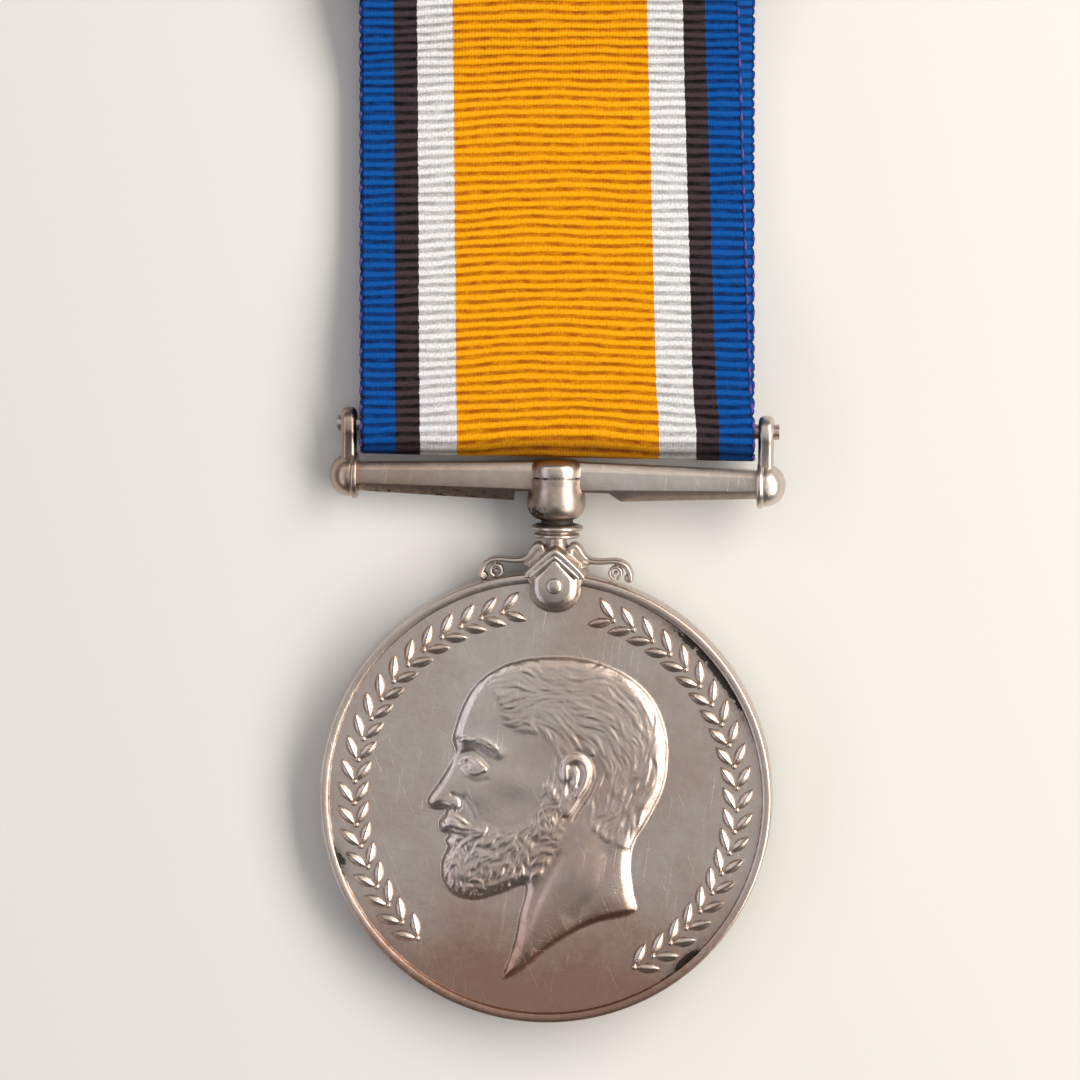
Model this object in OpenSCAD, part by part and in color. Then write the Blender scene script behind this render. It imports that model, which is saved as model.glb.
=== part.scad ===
/* [Disc] */
// Diameter of the struck disc
disc_d = 36; // [34:0.5:38]
// Thickness of the disc at its rim
disc_t = 3; // [2.6:0.1:3.4]
// Width of the flat top of the rim
rim_flat = 0.65; // [0.5:0.05:0.8]
// Width of the slope from the rim's top down to the field
rim_slope = 0.35; // [0.2:0.05:0.5]
// How far the field lies below the rim, on either face
rim_h = 0.45; // [0.3:0.05:0.6]
// Rounding of the rim's outer corners
rim_round = 0.2; // [0.1:0.05:0.3]
// Angle that the disc has slipped round on its rivet
disc_skew = 1.8; // [0:0.1:2.5]

/* [Head in relief] */
// Height of the head from beard to crown
head_h = 19.6; // [17:0.2:20]
// Width of the head from nose to the back of the head
head_w = 19.2; // [17:0.2:20]
// Distance of the crown above the disc's centre
head_top = 11.4; // [10.6:0.1:11.8]
// Distance of the head's middle to the right of the disc's centre
head_right = 0; // [-0.5:0.1:0.5]
// Height of the general swell of the head above the field
head_swell = 0.55; // [0.35:0.05:0.65]

/* [Laurel border] */
// Radius of the circle that the leaf pairs stand on
laurel_r = 15.25; // [15:0.05:15.4]
// Length of a leaf
leaf_len = 2.1; // [1.6:0.1:2.2]
// Width of a leaf
leaf_w = 0.85; // [0.6:0.05:0.95]
// Angle of a leaf to the circle
leaf_angle = 33; // [28:1:36]
// Distance from one pair of leaves to the next
leaf_pitch = 1.75; // [1.7:0.05:2.4]
// Height of a leaf above the field
leaf_h = 0.28; // [0.2:0.02:0.4]
// Where the border ends, left of the top and right of the top
laurel_ends = [141, 150]; // [120:1:165]

/* [Claw] */
// Thickness of the claw from face to face
claw_t = 5.2; // [4.8:0.1:5.8]
// Radius of the claw's round lobes
lobe_r = 2.1; // [1.9:0.05:2.4]
// Rounding of the lobes' outer edges
lobe_round = 0.7; // [0.4:0.05:0.8]
// Height of the lobes' straight sides above the rivet
lobe_side = 0.6; // [0.4:0.1:0.8]
// Height of the lobes' pointed top above the rivet
lobe_peak = 2.4; // [2.2:0.1:2.6]
// Width of the moulding along the pointed top
chevron_w = 0.45; // [0.3:0.05:0.55]
// Depth of the rivet's centre inside the disc's edge
rivet_in = 1.2; // [1:0.1:1.5]
// Diameter of the rivet's shank
rivet_d = 0.9; // [0.7:0.05:1]
// Diameter of the rivet's heads
rivet_head_d = 1.25; // [1.15:0.05:1.5]
// Height of the rivet's heads
rivet_head_h = 0.2; // [0.15:0.05:0.3]

/* [Neck and scrolls] */
// Diameter of the neck at its narrowest
neck_d = 1.7; // [1.4:0.1:2]
// Height of the neck's narrowest place above the rivet
neck_y = 3.95; // [3.7:0.05:4.1]
// Radius of the hollow curve that widens the neck to the lobes
neck_flare = 1.5; // [1.2:0.1:1.6]
// Diameter of the lower collar ring
ring_low_d = 4.05; // [3.6:0.05:4.4]
// Diameter of the upper collar ring
ring_high_d = 4.35; // [3.8:0.05:4.6]
// Thickness of a collar ring
ring_t = 0.42; // [0.3:0.02:0.46]
// Distance between the collar rings' middles
ring_pitch = 0.66; // [0.55:0.01:0.7]
// Width of a scroll arm's band
arm_w = 0.45; // [0.35:0.05:0.5]
// Depth of a scroll arm from front to back
arm_depth = 1.6; // [1.2:0.1:2.2]
// Height of a scroll arm's upper edge above the rivet
arm_top = 2.1; // [2:0.05:2.2]
// Reach of a scroll arm from the middle
arm_reach = 6; // [5.6:0.1:6.2]
// Radius of the curl at a scroll arm's end
arm_curl = 0.85; // [0.7:0.05:0.9]
// Radius of the small ring inside the curl
volute_r = 0.42; // [0.38:0.02:0.46]

/* [Suspender bar] */
// Room between the ribbon's edge and a post
post_room = 0.3; // [0.3:0.05:0.6]
// Height of the bar's upper edge above the rivet
bar_top = 9.9; // [9.7:0.05:10.1]
// Height of the bar's face at the middle
bar_h_mid = 3.1; // [2.7:0.1:3.3]
// Height of the bar's face at its ends
bar_h_end = 2.1; // [1.8:0.1:2.4]
// Thickness of the bar from front to back
bar_t = 1.8; // [1.7:0.1:2.2]
// Height of the narrow upper facet
facet_high = 0.5; // [0.3:0.05:0.6]
// Share of the bar's height that its lower facet takes
facet_low = 0.4; // [0.3:0.02:0.45]
// Diameter of the round boss over the neck
boss_d = 4.67; // [4.4:0.05:5]
// Height of the boss
boss_h = 5; // [4.8:0.1:5.2]
// Diameter of the band round the boss's upper end
band_d = 4.24; // [4:0.05:4.4]
// Diameter of the knob at each end of the bar
knob_d = 3.7; // [3.3:0.1:4]
// Thickness of the knob's flat base
knob_base = 0.4; // [0.3:0.05:0.5]
// Thickness of a post
post_t = 1.05; // [0.9:0.05:1.2]
// Width of a post from front to back
post_w = 2; // [1.8:0.1:2.3]
// Height of the rod's middle above the rivet
rod_y = 12.75; // [12.5:0.05:13.2]
// Diameter of the ribbon rod
rod_d = 1.2; // [1:0.05:1.3]
// Radius of the post's round top
post_end_r = 1.35; // [1.2:0.05:1.5]
// How far the rod's riveted ends stand out of the posts
rod_stub = 0.5; // [0.3:0.1:0.7]

/* [Ribbon] */
// Width of the ribbon
ribbon_w = 31.4; // [30:0.1:31.6]
// Thickness of the ribbon
ribbon_t = 1; // [1:0.05:1.1]
// Height of the ribbon's top fold above the rod
ribbon_len = 40.5; // [36:0.5:46]
// Reach of the lower fold's mid line below the rod
loop_reach = 1.65; // [1.5:0.05:1.8]
// How much narrower the front layer is at the top, on the right
front_lean = 1.1; // [0:0.1:1.6]
// Length over which the ribbon sinks from the rod to its bed
settle_len = 17; // [12:1:20]
// Length over which the ribbon rises to the brooch
rise_len = 9; // [7:1:12]

/* [Brooch pin] */
// Height of the brooch's plate
plate_h = 3.6; // [3:0.1:4]
// Thickness of the brooch's plate
plate_t = 0.9; // [0.8:0.05:1]
// Diameter of the pin behind the ribbon
pin_d = 1; // [0.9:0.05:1.2]
// Thickness of the ears that carry the pin
ear_t = 0.8; // [0.6:0.1:1]
// Room between the ribbon's edge and an ear
plate_side = 0.4; // [0.3:0.1:0.6]

/* [Hidden] */
// Clearance between neighbouring metal pieces
gap = 0.06;
// Clearance between the ribbon and what it meets
cloth_gap = 0.12;
// Room under the rivet's heads
rivet_seat = 0.02;
// How far a knob's dome is sunk into its flat base
knob_lip = 0.08;
// How far the pointed moulding stands out at the lobes' sides, and from their faces
chevron_out = 0.12;
chevron_z = 0.05;
// Diameter and top of the spigot that holds the claw in the boss
spigot_d = 1.6;
spigot_top = 7.65;
// Room between the upper collar ring and the boss
boss_room = 0.18;
// Turn of the metal on the surface, clockwise as seen from above
turn_deg = 0.9;
$fn = 64;
disc_fn = 128;

disc_r = disc_d / 2;
field_z = disc_t / 2 - rim_h;
rivet_y = disc_r - rivet_in;
rivet_z = claw_t / 2 + rivet_head_h;
boss_low = neck_y + ring_pitch + ring_t + boss_room;
// Reach of the bar's straight part from the middle
bar_half = ribbon_w / 2 + post_room - knob_base / 2;
knob_y = bar_top - bar_h_end / 2;
knob_r = knob_d / 2;
knob_tip = bar_half + knob_base + knob_r - knob_lip;
loop_half = rod_d / 2 + cloth_gap + ribbon_t / 2;

function smooth(t) = let (c = min(max(t, 0), 1)) c * c * (3 - 2 * c);
function mix(a, b, t) = a + (b - a) * t;

// The metal lies on its back, on three places: the rivet's rear head, the
// left knob and the disc's rim. With the height of a point written as
// z + lean * x + nod * y, these three heights are the same, which gives a
// quadratic for the lean.
disc_mid = [-rivet_y * sin(disc_skew), -rivet_y * cos(disc_skew)];
knob_foot = [bar_half + knob_base, knob_y];
nod_per_lean = knob_foot[0] / knob_foot[1];
nod_start = (knob_r - rivet_z) / knob_foot[1];
rim_foot_r = disc_r - rim_round;
rim_rise = rivet_z - disc_t / 2 + nod_start * disc_mid[1];
rim_fall = disc_mid[0] + nod_per_lean * disc_mid[1];
quad_a = rim_foot_r ^ 2 * (1 + nod_per_lean ^ 2) - rim_fall ^ 2;
quad_b = 2 * rim_foot_r ^ 2 * nod_per_lean * nod_start - 2 * rim_rise * rim_fall;
quad_c = rim_foot_r ^ 2 * nod_start ^ 2 - rim_rise ^ 2;
lean = (sqrt(quad_b ^ 2 - 4 * quad_a * quad_c) - quad_b) / (2 * quad_a);
nod = nod_start + nod_per_lean * lean;
nod_deg = atan(nod);
lean_deg = atan(lean * cos(nod_deg));
lift = rivet_z * cos(lean_deg) * cos(nod_deg);

// The part's own origin is the middle of its footprint on the surface
function turned(p) = [
  p[0] * cos(turn_deg) + p[1] * sin(turn_deg),
  p[1] * cos(turn_deg) - p[0] * sin(turn_deg)
];
box_left = min(turned(disc_mid)[0] - disc_r, turned([-knob_tip, knob_y])[0]);
box_right = max(turned(disc_mid)[0] + disc_r, turned([knob_tip, knob_y])[0]);
box_low = turned(disc_mid)[1] - disc_r;
box_high = turned([0, rod_y])[1] + ribbon_len;
middle = [(box_left + box_right) / 2, (box_low + box_high) / 2];

// Places a metal piece, drawn about the rivet with its face up
module lie() {
  translate([-middle[0], -middle[1], lift]) rotate([nod_deg, -lean_deg, -turn_deg]) children();
}

// Where lie() puts a point
function tipped(p) = [
  p[0],
  p[1] * cos(nod_deg) - p[2] * sin(nod_deg),
  p[1] * sin(nod_deg) + p[2] * cos(nod_deg)
];
function leaned(p) = [
  p[0] * cos(lean_deg) - p[2] * sin(lean_deg),
  p[1],
  p[0] * sin(lean_deg) + p[2] * cos(lean_deg)
];
function laid(p) = let (q = leaned(tipped(p)), r = turned(q))
  [r[0] - middle[0], r[1] - middle[1], q[2] + lift];

// Turns a piece about the disc's centre and back onto the rivet
module on_disc() {
  rotate(-disc_skew) translate([0, -rivet_y, 0]) children();
}

// Faces of a grid of points, rows by columns, whose rows are closed rings
function ring_grid(rows, cols, start) = [
  for (r = [0 : rows - 2], c = [0 : cols - 1])
    let (n = (c + 1) % cols, a = start + r * cols, b = a + cols)
      each [[a + c, a + n, b + c], [a + n, b + n, b + c]]
];
function flipped(faces) = [for (f = faces) [f[2], f[1], f[0]]];

// Outline of the head, facing left, with a short full beard and a bare neck.
// Columns: share of the head's width from the nose, share of its height
// from the beard's lower edge, both in the proportions of a drawing manual.
head_outline = [
  [0.560, 1.000], [0.400, 0.985], [0.270, 0.938], [0.185, 0.865], [0.138, 0.780], [0.112, 0.700],
  [0.101, 0.640], [0.116, 0.590], [0.092, 0.530], [0.048, 0.455], [0.010, 0.396], [0.010, 0.368],
  [0.036, 0.350], [0.090, 0.342], [0.064, 0.303], [0.068, 0.268], [0.100, 0.247], [0.088, 0.221],
  [0.100, 0.194], [0.080, 0.140], [0.088, 0.060], [0.140, 0.004], [0.230, -0.012], [0.340, 0.022],
  [0.430, 0.055], [0.412, -0.060], [0.392, -0.190], [0.355, -0.335], [0.440, -0.292], [0.560, -0.185],
  [0.720, -0.088], [0.890, -0.035], [0.882, 0.060], [0.868, 0.150], [0.876, 0.250], [0.925, 0.340],
  [0.980, 0.460], [1.000, 0.590], [0.985, 0.720], [0.930, 0.840], [0.830, 0.930], [0.700, 0.983],
];
// The middle that the head's rings shrink to, in the same shares
head_core = [0.56, 0.36];
// Swellings and hollows on the head, in the same shares. Columns: across,
// up, half width, half height, slant in degrees, height in millimetres.
head_forms = [
  [0.660, 0.740, 0.300, 0.250, 20, 0.16],
  [0.622, 0.475, 0.055, 0.100, 12, 0.30],
  [0.612, 0.480, 0.028, 0.055, 12, -0.22],
  [0.200, 0.640, 0.095, 0.028, -6, 0.13],
  [0.160, 0.570, 0.050, 0.040, 0, -0.16],
  [0.185, 0.538, 0.036, 0.024, 0, 0.12],
  [0.080, 0.470, 0.035, 0.080, -32, 0.12],
  [0.118, 0.376, 0.035, 0.028, 0, 0.12],
  [0.320, 0.480, 0.110, 0.090, 0, 0.08],
  [0.150, 0.298, 0.095, 0.034, -12, 0.18],
  [0.255, 0.130, 0.150, 0.140, 40, 0.20],
  [0.500, 0.280, 0.060, 0.180, 25, 0.12],
  [0.640, 0.080, 0.120, 0.250, -28, 0.08],
];
outline_steps = 3;
// Shares of the way from the core to the outline at which the rings stand
head_rings = [0.08, 0.18, 0.28, 0.38, 0.48, 0.57, 0.65, 0.73, 0.80, 0.86, 0.91, 0.95, 0.98, 1];
// The edge stands up to this height over the outer share of the rings
edge_h = 0.2;
edge_share = 0.16;
// Depth of the head's base under the field, so that the two are one metal
head_root = 0.3;

function spline(a, b, c, d, t) = 0.5 * (2 * b + (c - a) * t + (2 * a - 5 * b + 4 * c - d) * t ^ 2
  + (3 * b - a - 3 * c + d) * t ^ 3);
function finer(pts, steps) = let (n = len(pts)) [
  for (i = [0 : n - 1], s = [0 : steps - 1])
    spline(pts[(i + n - 1) % n], pts[i], pts[(i + 1) % n], pts[(i + 2) % n], s / steps)
];
function form(f, p) = let (
  dx = (p[0] - f[0]) * head_w / head_h,
  dy = p[1] - f[1],
  u = (dx * cos(f[4]) + dy * sin(f[4])) / (f[2] * head_w / head_h),
  v = (dy * cos(f[4]) - dx * sin(f[4])) / f[3]
) f[5] * exp(-(u * u + v * v));
function forms_at(p, i = 0) = i == len(head_forms) ? 0 : form(head_forms[i], p) + forms_at(p, i + 1);
function head_z(p, ring) = field_z + smooth((1 - ring) / edge_share) * (edge_h + forms_at(p))
  + (head_swell - edge_h) * (1 - ring ^ 3);
function head_point(p, z) = [
  (p[0] - 0.5) * head_w + head_right,
  head_top - head_h * (1 - p[1]),
  z
];

module head_relief() {
  rim = finer(head_outline, outline_steps);
  cols = len(rim);
  rows = len(head_rings);
  top = [
    for (ring = head_rings, p = rim)
      let (q = mix(head_core, p, ring)) head_point(q, head_z(q, ring))
  ];
  foot = [for (p = rim) head_point(p, field_z - head_root)];
  tip = rows * cols + cols;
  core_top = head_point(head_core, head_z(head_core, 0));
  core_foot = head_point(head_core, field_z - head_root);
  polyhedron(
    concat(top, foot, [core_top, core_foot]),
    concat(
      ring_grid(rows + 1, cols, 0),
      [for (c = [0 : cols - 1]) [tip, (c + 1) % cols, c]],
      [for (c = [0 : cols - 1]) [tip + 1, rows * cols + c, rows * cols + (c + 1) % cols]]
    )
  );
}

// One leaf, pointing along +Y from its stalk. A lower power makes it fuller.
leaf_sides = 5;
leaf_power = 0.8;
// Distance of a leaf's stalk from the point where its pair meets
leaf_root = 0.12;
module leaf() {
  side = [
    for (i = [0 : leaf_sides])
      let (t = i / leaf_sides) [leaf_w / 2 * sin(180 * t) ^ leaf_power, leaf_len * t]
  ];
  polygon(concat(side, [for (i = [leaf_sides - 1 : -1 : 1]) [-side[i][0], side[i][1]]]));
}

// Pairs of leaves from the border's end up to the claw, on the side dir
module laurel(end_deg, dir) {
  step = leaf_pitch / laurel_r * 180 / PI;
  first = (lobe_r + leaf_len) / laurel_r * 180 / PI;
  pairs = floor((end_deg - first) / step);
  for (i = [0 : pairs])
    rotate(-dir * (end_deg - i * step))
      translate([0, laurel_r])
        for (side = [-1, 1])
          rotate(dir * 90 + side * leaf_angle) translate([0, leaf_root]) leaf();
}

module rim_section(clear) {
  z = disc_t / 2 + clear;
  r = disc_r + clear;
  inner = disc_r - rim_flat - rim_slope;
  polygon([
    [0, -field_z - clear], [inner - clear, -field_z - clear], [disc_r - rim_flat - clear, -z],
    [r - rim_round, -z], [r, -z + rim_round], [r, z - rim_round], [r - rim_round, z],
    [disc_r - rim_flat - clear, z], [inner - clear, field_z + clear], [0, field_z + clear],
  ]);
}

module medal_disc() {
  color("silver") lie() on_disc() {
    difference() {
      union() {
        rotate_extrude($fn = disc_fn) rim_section(0);
        head_relief();
        translate([0, 0, field_z - head_root]) linear_extrude(head_root + leaf_h) {
          laurel(laurel_ends[0], -1);
          laurel(laurel_ends[1], 1);
        }
      }
      translate([0, rivet_y, -disc_t]) cylinder(d = rivet_d + 2 * gap, h = 2 * disc_t);
    }
  }
}

// A shape turned about the neck's axis, from a half outline of radius and height
module about_neck() {
  rotate([-90, 0, 0]) rotate_extrude() children();
}

module lobe_section() {
  half = claw_t / 2 - lobe_round;
  translate([lobe_r - lobe_round, half]) circle(lobe_round);
  translate([lobe_r - lobe_round, -half]) circle(lobe_round);
  translate([0, -half]) square([lobe_r, 2 * half]);
  translate([0, -claw_t / 2]) square([lobe_r - lobe_round, claw_t]);
}

// The two lobes as one block, before the disc's slot is cut
module lobes() {
  rotate([0, 0, 180]) rotate_extrude(angle = 180) lobe_section();
  intersection() {
    rotate([-90, 0, 0]) linear_extrude(lobe_peak) {
      lobe_section();
      mirror([1, 0]) lobe_section();
    }
    translate([0, 0, -claw_t]) linear_extrude(2 * claw_t)
      polygon([[-lobe_r, 0], [lobe_r, 0], [lobe_r, lobe_side], [0, lobe_peak], [-lobe_r, lobe_side]]);
  }
}

// The bent moulding that frames the lobes' pointed top
module chevron() {
  rise = (lobe_peak - lobe_side) / lobe_r;
  drop = chevron_w * sqrt(1 + rise ^ 2);
  out = lobe_r + chevron_out;
  translate([0, 0, -claw_t / 2 - chevron_z]) linear_extrude(claw_t + 2 * chevron_z)
    polygon([
      [-out, lobe_peak - rise * out], [0, lobe_peak], [out, lobe_peak - rise * out],
      [out, lobe_peak + drop - rise * out], [0, lobe_peak + drop], [-out, lobe_peak + drop - rise * out],
    ]);
}

// How far the neck's foot reaches down into the lobes, and how much slimmer it is there
neck_root = 0.9;
neck_slim = 0.35;
// Share of the lower ring's radius that the core between the rings has
collar_core = 0.8;
module neck() {
  low_y = neck_y - neck_flare;
  ring_y = neck_y + ring_t / 2;
  about_neck() {
    polygon(concat(
      [[0, low_y - neck_root], [neck_d / 2 + neck_flare - neck_slim, low_y - neck_root]],
      [for (a = [75 : -15 : 0]) [neck_d / 2 + neck_flare * (1 - cos(a)), neck_y - neck_flare * sin(a)]],
      [[0, neck_y]]
    ));
    ring_section(ring_y, ring_low_d);
    ring_section(ring_y + ring_pitch, ring_high_d);
    translate([0, ring_y]) square([ring_low_d / 2 * collar_core, ring_pitch]);
    translate([0, ring_y]) square([spigot_d / 2, spigot_top - ring_y]);
  }
}

module ring_section(y, d) {
  translate([0, y - ring_t / 2]) square([d / 2 - ring_t / 2, ring_t]);
  translate([d / 2 - ring_t / 2, y]) circle(ring_t / 2);
}

// A band of even width along a line of points
function across(a, b) = let (d = b - a) [-d[1], d[0]] / norm(d);
function band_side(pts, w) = [
  for (i = [0 : len(pts) - 1])
    pts[i] + w / 2 * across(pts[max(i - 1, 0)], pts[min(i + 1, len(pts) - 1)])
];
module band(pts, w) {
  polygon(concat(band_side(pts, w), [for (i = [len(pts) - 1 : -1 : 0]) band_side(pts, -w)[i]]));
}

// Web that fills the corner between the neck and a scroll arm's leaf. Columns:
// distance from the neck's axis, height above the arm's mid line.
arm_web = [[0.5, -0.55], [2.85, -0.1], [1.95, 1.1], [0.5, 0.6]];
// The leaf's height above the arm's mid line, and its length along the arm
leaf_rise = 1;
leaf_run = 0.8;
// Share of the small ring's radius that its hole takes
volute_hole = 0.4;
// Width of the stalk that holds the small ring
volute_stalk = 0.25;
// Scroll arm on the right: a leaf beside the neck, a level band, a curl
module scroll_arm() {
  y = arm_top - arm_w / 2;
  curl_x = arm_reach - arm_w / 2 - arm_curl;
  leaf_x = arm_web[2][0];
  line = concat(
    [for (t = [0 : 0.25 : 1]) [leaf_x + leaf_run * t, y + leaf_rise * (1 - t) ^ 2]],
    [for (a = [90 : -18 : -18]) [curl_x + arm_curl * cos(a), y - arm_curl + arm_curl * sin(a)]]
  );
  translate([0, 0, -arm_depth / 2]) linear_extrude(arm_depth) {
    band(line, arm_w);
    polygon([for (p = arm_web) [p[0], y + p[1]]]);
    translate([curl_x, y - arm_curl]) difference() {
      circle(volute_r);
      circle(volute_r * volute_hole);
    }
    translate([curl_x - volute_stalk / 2, y - arm_curl + volute_r * (1 + volute_hole) / 2])
      square([volute_stalk, arm_curl - volute_r * (1 + volute_hole) / 2]);
  }
}

module claw() {
  color("gainsboro") lie()
    difference() {
      union() {
        lobes();
        chevron();
        neck();
        scroll_arm();
        mirror([1, 0, 0]) scroll_arm();
      }
      on_disc() rotate_extrude($fn = disc_fn) rim_section(gap);
      translate([0, 0, -claw_t]) cylinder(d = rivet_d + 2 * gap, h = 2 * claw_t);
    }
}

module claw_rivet() {
  seat = claw_t / 2 + rivet_seat;
  head_h = rivet_head_h - rivet_seat;
  color("silver") lie() {
    translate([0, 0, -seat]) cylinder(d = rivet_d, h = 2 * seat);
    for (side = [0, 1])
      mirror([0, 0, side]) translate([0, 0, seat])
        rotate_extrude() intersection() {
          square([rivet_head_d / 2, head_h]);
          translate([0, head_h - rivet_head_d]) circle(rivet_head_d);
        }
  }
}

// The boss's cup: its height, its flat foot, as shares, and the angle of its curve
cup_share = 0.32;
cup_foot = 0.4;
cup_angle = 50;
// Steps of the boss above its cup. Columns: how far inside the boss's radius,
// share of the boss's height.
boss_steps = [[0.05, 0.42], [0.16, 0.48], [0.28, 0.49], [0.32, 0.63]];
// Lower and upper edge of the band, as shares of the boss's height, and its bevel
band_edges = [0.67, 0.93];
band_bevel = 0.3;
// Half outline of the boss: a cup below, a step, and a band above
module boss_section() {
  r = boss_d / 2;
  cup = boss_h * cup_share;
  cup_curve = [
    for (a = [-cup_angle : 10 : 0])
      [r * mix(cup_foot, 1, cos(a)), cup * (1 + sin(a) / sin(cup_angle))]
  ];
  polygon(concat(
    [[0, 0]],
    cup_curve,
    [for (step = boss_steps) [r - step[0], boss_h * step[1]]],
    [for (edge = band_edges) [band_d / 2, boss_h * edge]],
    [[band_d / 2 - band_bevel, boss_h], [0, boss_h]]
  ));
}

// Eight-sided section of the bar, where its face is h high
function bar_section(x, h) = let (
  z = bar_t / 2,
  low = h * facet_low
) [
  [x, bar_top, z - facet_high], [x, bar_top - facet_high, z], [x, bar_top - h + low, z],
  [x, bar_top - h, z - low / 2], [x, bar_top - h, low / 2 - z], [x, bar_top - h + low, -z],
  [x, bar_top - facet_high, -z], [x, bar_top, facet_high - z],
];

bar_sides = 8;
module tapered_bar() {
  end = bar_half + knob_base / 2;
  rings = concat(bar_section(-end, bar_h_end), bar_section(0, bar_h_mid), bar_section(end, bar_h_end));
  polyhedron(rings, concat(
    flipped(ring_grid(3, bar_sides, 0)),
    [[for (i = [0 : bar_sides - 1]) i]],
    [[for (i = [bar_sides - 1 : -1 : 0]) 2 * bar_sides + i]]
  ));
}

// Knob on the right end, with the post that carries the ribbon rod
module knob_and_post() {
  translate([bar_half, knob_y, 0]) rotate([0, 90, 0]) rotate_extrude() {
    square([knob_r, knob_base]);
    translate([0, knob_base]) intersection() {
      translate([0, -knob_lip]) circle(knob_r);
      square([knob_r - knob_lip, knob_r]);
    }
  }
  translate([bar_half + knob_base / 2, 0, 0]) rotate([90, 0, 90]) linear_extrude(post_t) {
    translate([rod_y, 0]) circle(post_end_r);
    translate([knob_y, -post_w / 2]) square([rod_y - knob_y, post_w]);
  }
}

// Places where the lower facet was filed away beside the boss: their depth from
// the bar's face, their width beside the boss, the foot of the slanting one on
// the right, and how far all reach below the bar
file_depth = 0.7;
file_side = 0.6;
file_foot = 2.4;
file_below = 0.5;
module file_cuts() {
  r = boss_d / 2;
  low = bar_top - bar_h_mid - file_below;
  high = low + file_below + bar_h_mid * facet_low;
  translate([0, 0, bar_t / 2 - file_depth]) linear_extrude(bar_t) {
    translate([-r - file_side, low]) square([2 * file_side, high - low]);
    polygon([[r - file_side, low], [r + file_foot, low], [r + file_side, high], [r - file_side, high]]);
  }
}

module suspender_bar() {
  color("gainsboro") lie()
    difference() {
      union() {
        difference() {
          tapered_bar();
          file_cuts();
        }
        translate([0, boss_low, 0]) about_neck() boss_section();
        knob_and_post();
        mirror([1, 0, 0]) knob_and_post();
      }
      translate([0, boss_low - ring_t, 0]) rotate([-90, 0, 0])
        cylinder(d = spigot_d + 2 * gap, h = spigot_top + gap - boss_low + ring_t);
      translate([-knob_tip, rod_y, 0]) rotate([0, 90, 0])
        cylinder(d = rod_d + 2 * gap, h = 2 * knob_tip);
    }
}

module ribbon_rod() {
  half = bar_half + knob_base / 2 + post_t + rod_stub;
  color("silver") lie() translate([-half, rod_y, 0]) rotate([0, 90, 0]) cylinder(d = rod_d, h = 2 * half);
}

// Heights of the ribbon's mid lines at its bed and at the brooch
back_bed = ribbon_t / 2;
front_bed = back_bed + ribbon_t + cloth_gap;
back_top = pin_d + cloth_gap + ribbon_t / 2;
plate_z = back_top + ribbon_t / 2 + cloth_gap;
front_top = plate_z + plate_t + cloth_gap + ribbon_t / 2;
fold_r = (front_top - back_top) / 2;
fold_y = box_high - middle[1] - fold_r - ribbon_t / 2;
ribbon_cols = 5;
loop_steps = 10;
run_steps = 18;
fold_steps = 8;

function rod_at(u) = laid([u * ribbon_w / 2, rod_y, 0]);
brooch_y = fold_y - plate_h;
function run_z(y, rod, bed, rod_end, top_end) = bed
  + (rod_end - bed) * (1 - smooth((y - rod[1]) / settle_len))
  + (top_end - bed) * smooth((y - brooch_y + rise_len) / rise_len);
function run_y(rod, i) = mix(rod[1], fold_y, i / run_steps);
// Mid line of the ribbon in a plane across it: round the rod, up the back,
// over the brooch plate and down the front
function mid_line(rod) = concat(
  [for (i = [0 : loop_steps]) let (a = 180 * i / loop_steps)
    [rod[1] - loop_reach * sin(a), rod[2] + loop_half * cos(a)]],
  [for (i = [1 : run_steps - 1]) let (y = run_y(rod, i))
    [y, run_z(y, rod, back_bed, rod[2] - loop_half, back_top)]],
  [for (i = [0 : fold_steps]) let (a = 180 * i / fold_steps)
    [fold_y + fold_r * sin(a), back_top + fold_r * (1 - cos(a))]],
  [for (i = [run_steps - 1 : -1 : 1]) let (y = run_y(rod, i))
    [y, run_z(y, rod, front_bed, rod[2] + loop_half, front_top)]]
);
function beside(line, d) = let (n = len(line)) [
  for (i = [0 : n - 1])
    let (t = line[(i + 1) % n] - line[(i + n - 1) % n]) line[i] + d * [t[1], -t[0]] / norm(t)
];
// The front layer leans in on the right towards the top
ribbon_back_end = loop_steps + run_steps + fold_steps / 2;
function lean_in(rod, u, i, y) = i < ribbon_back_end ? 0
  : front_lean * (u + 1) / 2 * (y - rod[1]) / ribbon_len;
function ribbon_ring(u, d) = let (rod = rod_at(u), line = beside(mid_line(rod), d)) [
  for (i = [0 : len(line) - 1]) [rod[0] - lean_in(rod, u, i, line[i][0]), line[i][0], line[i][1]]
];

module ribbon() {
  n = loop_steps + 2 * run_steps + fold_steps;
  sides = [
    for (d = [ribbon_t / 2, -ribbon_t / 2], c = [0 : ribbon_cols])
      ribbon_ring(2 * c / ribbon_cols - 1, d)
  ];
  inner = (ribbon_cols + 1) * n;
  last = ribbon_cols * n;
  color("orange") polyhedron(
    [for (ring = sides) each ring],
    concat(
      flipped(ring_grid(ribbon_cols + 1, n, 0)),
      ring_grid(ribbon_cols + 1, n, inner),
      [for (i = [0 : n - 1]) let (j = (i + 1) % n) each [[i, j, inner + j], [i, inner + j, inner + i]]],
      [for (i = [0 : n - 1]) let (j = (i + 1) % n)
        each [[last + i, inner + last + j, last + j], [last + i, inner + last + i, inner + last + j]]]
    )
  );
}

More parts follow.
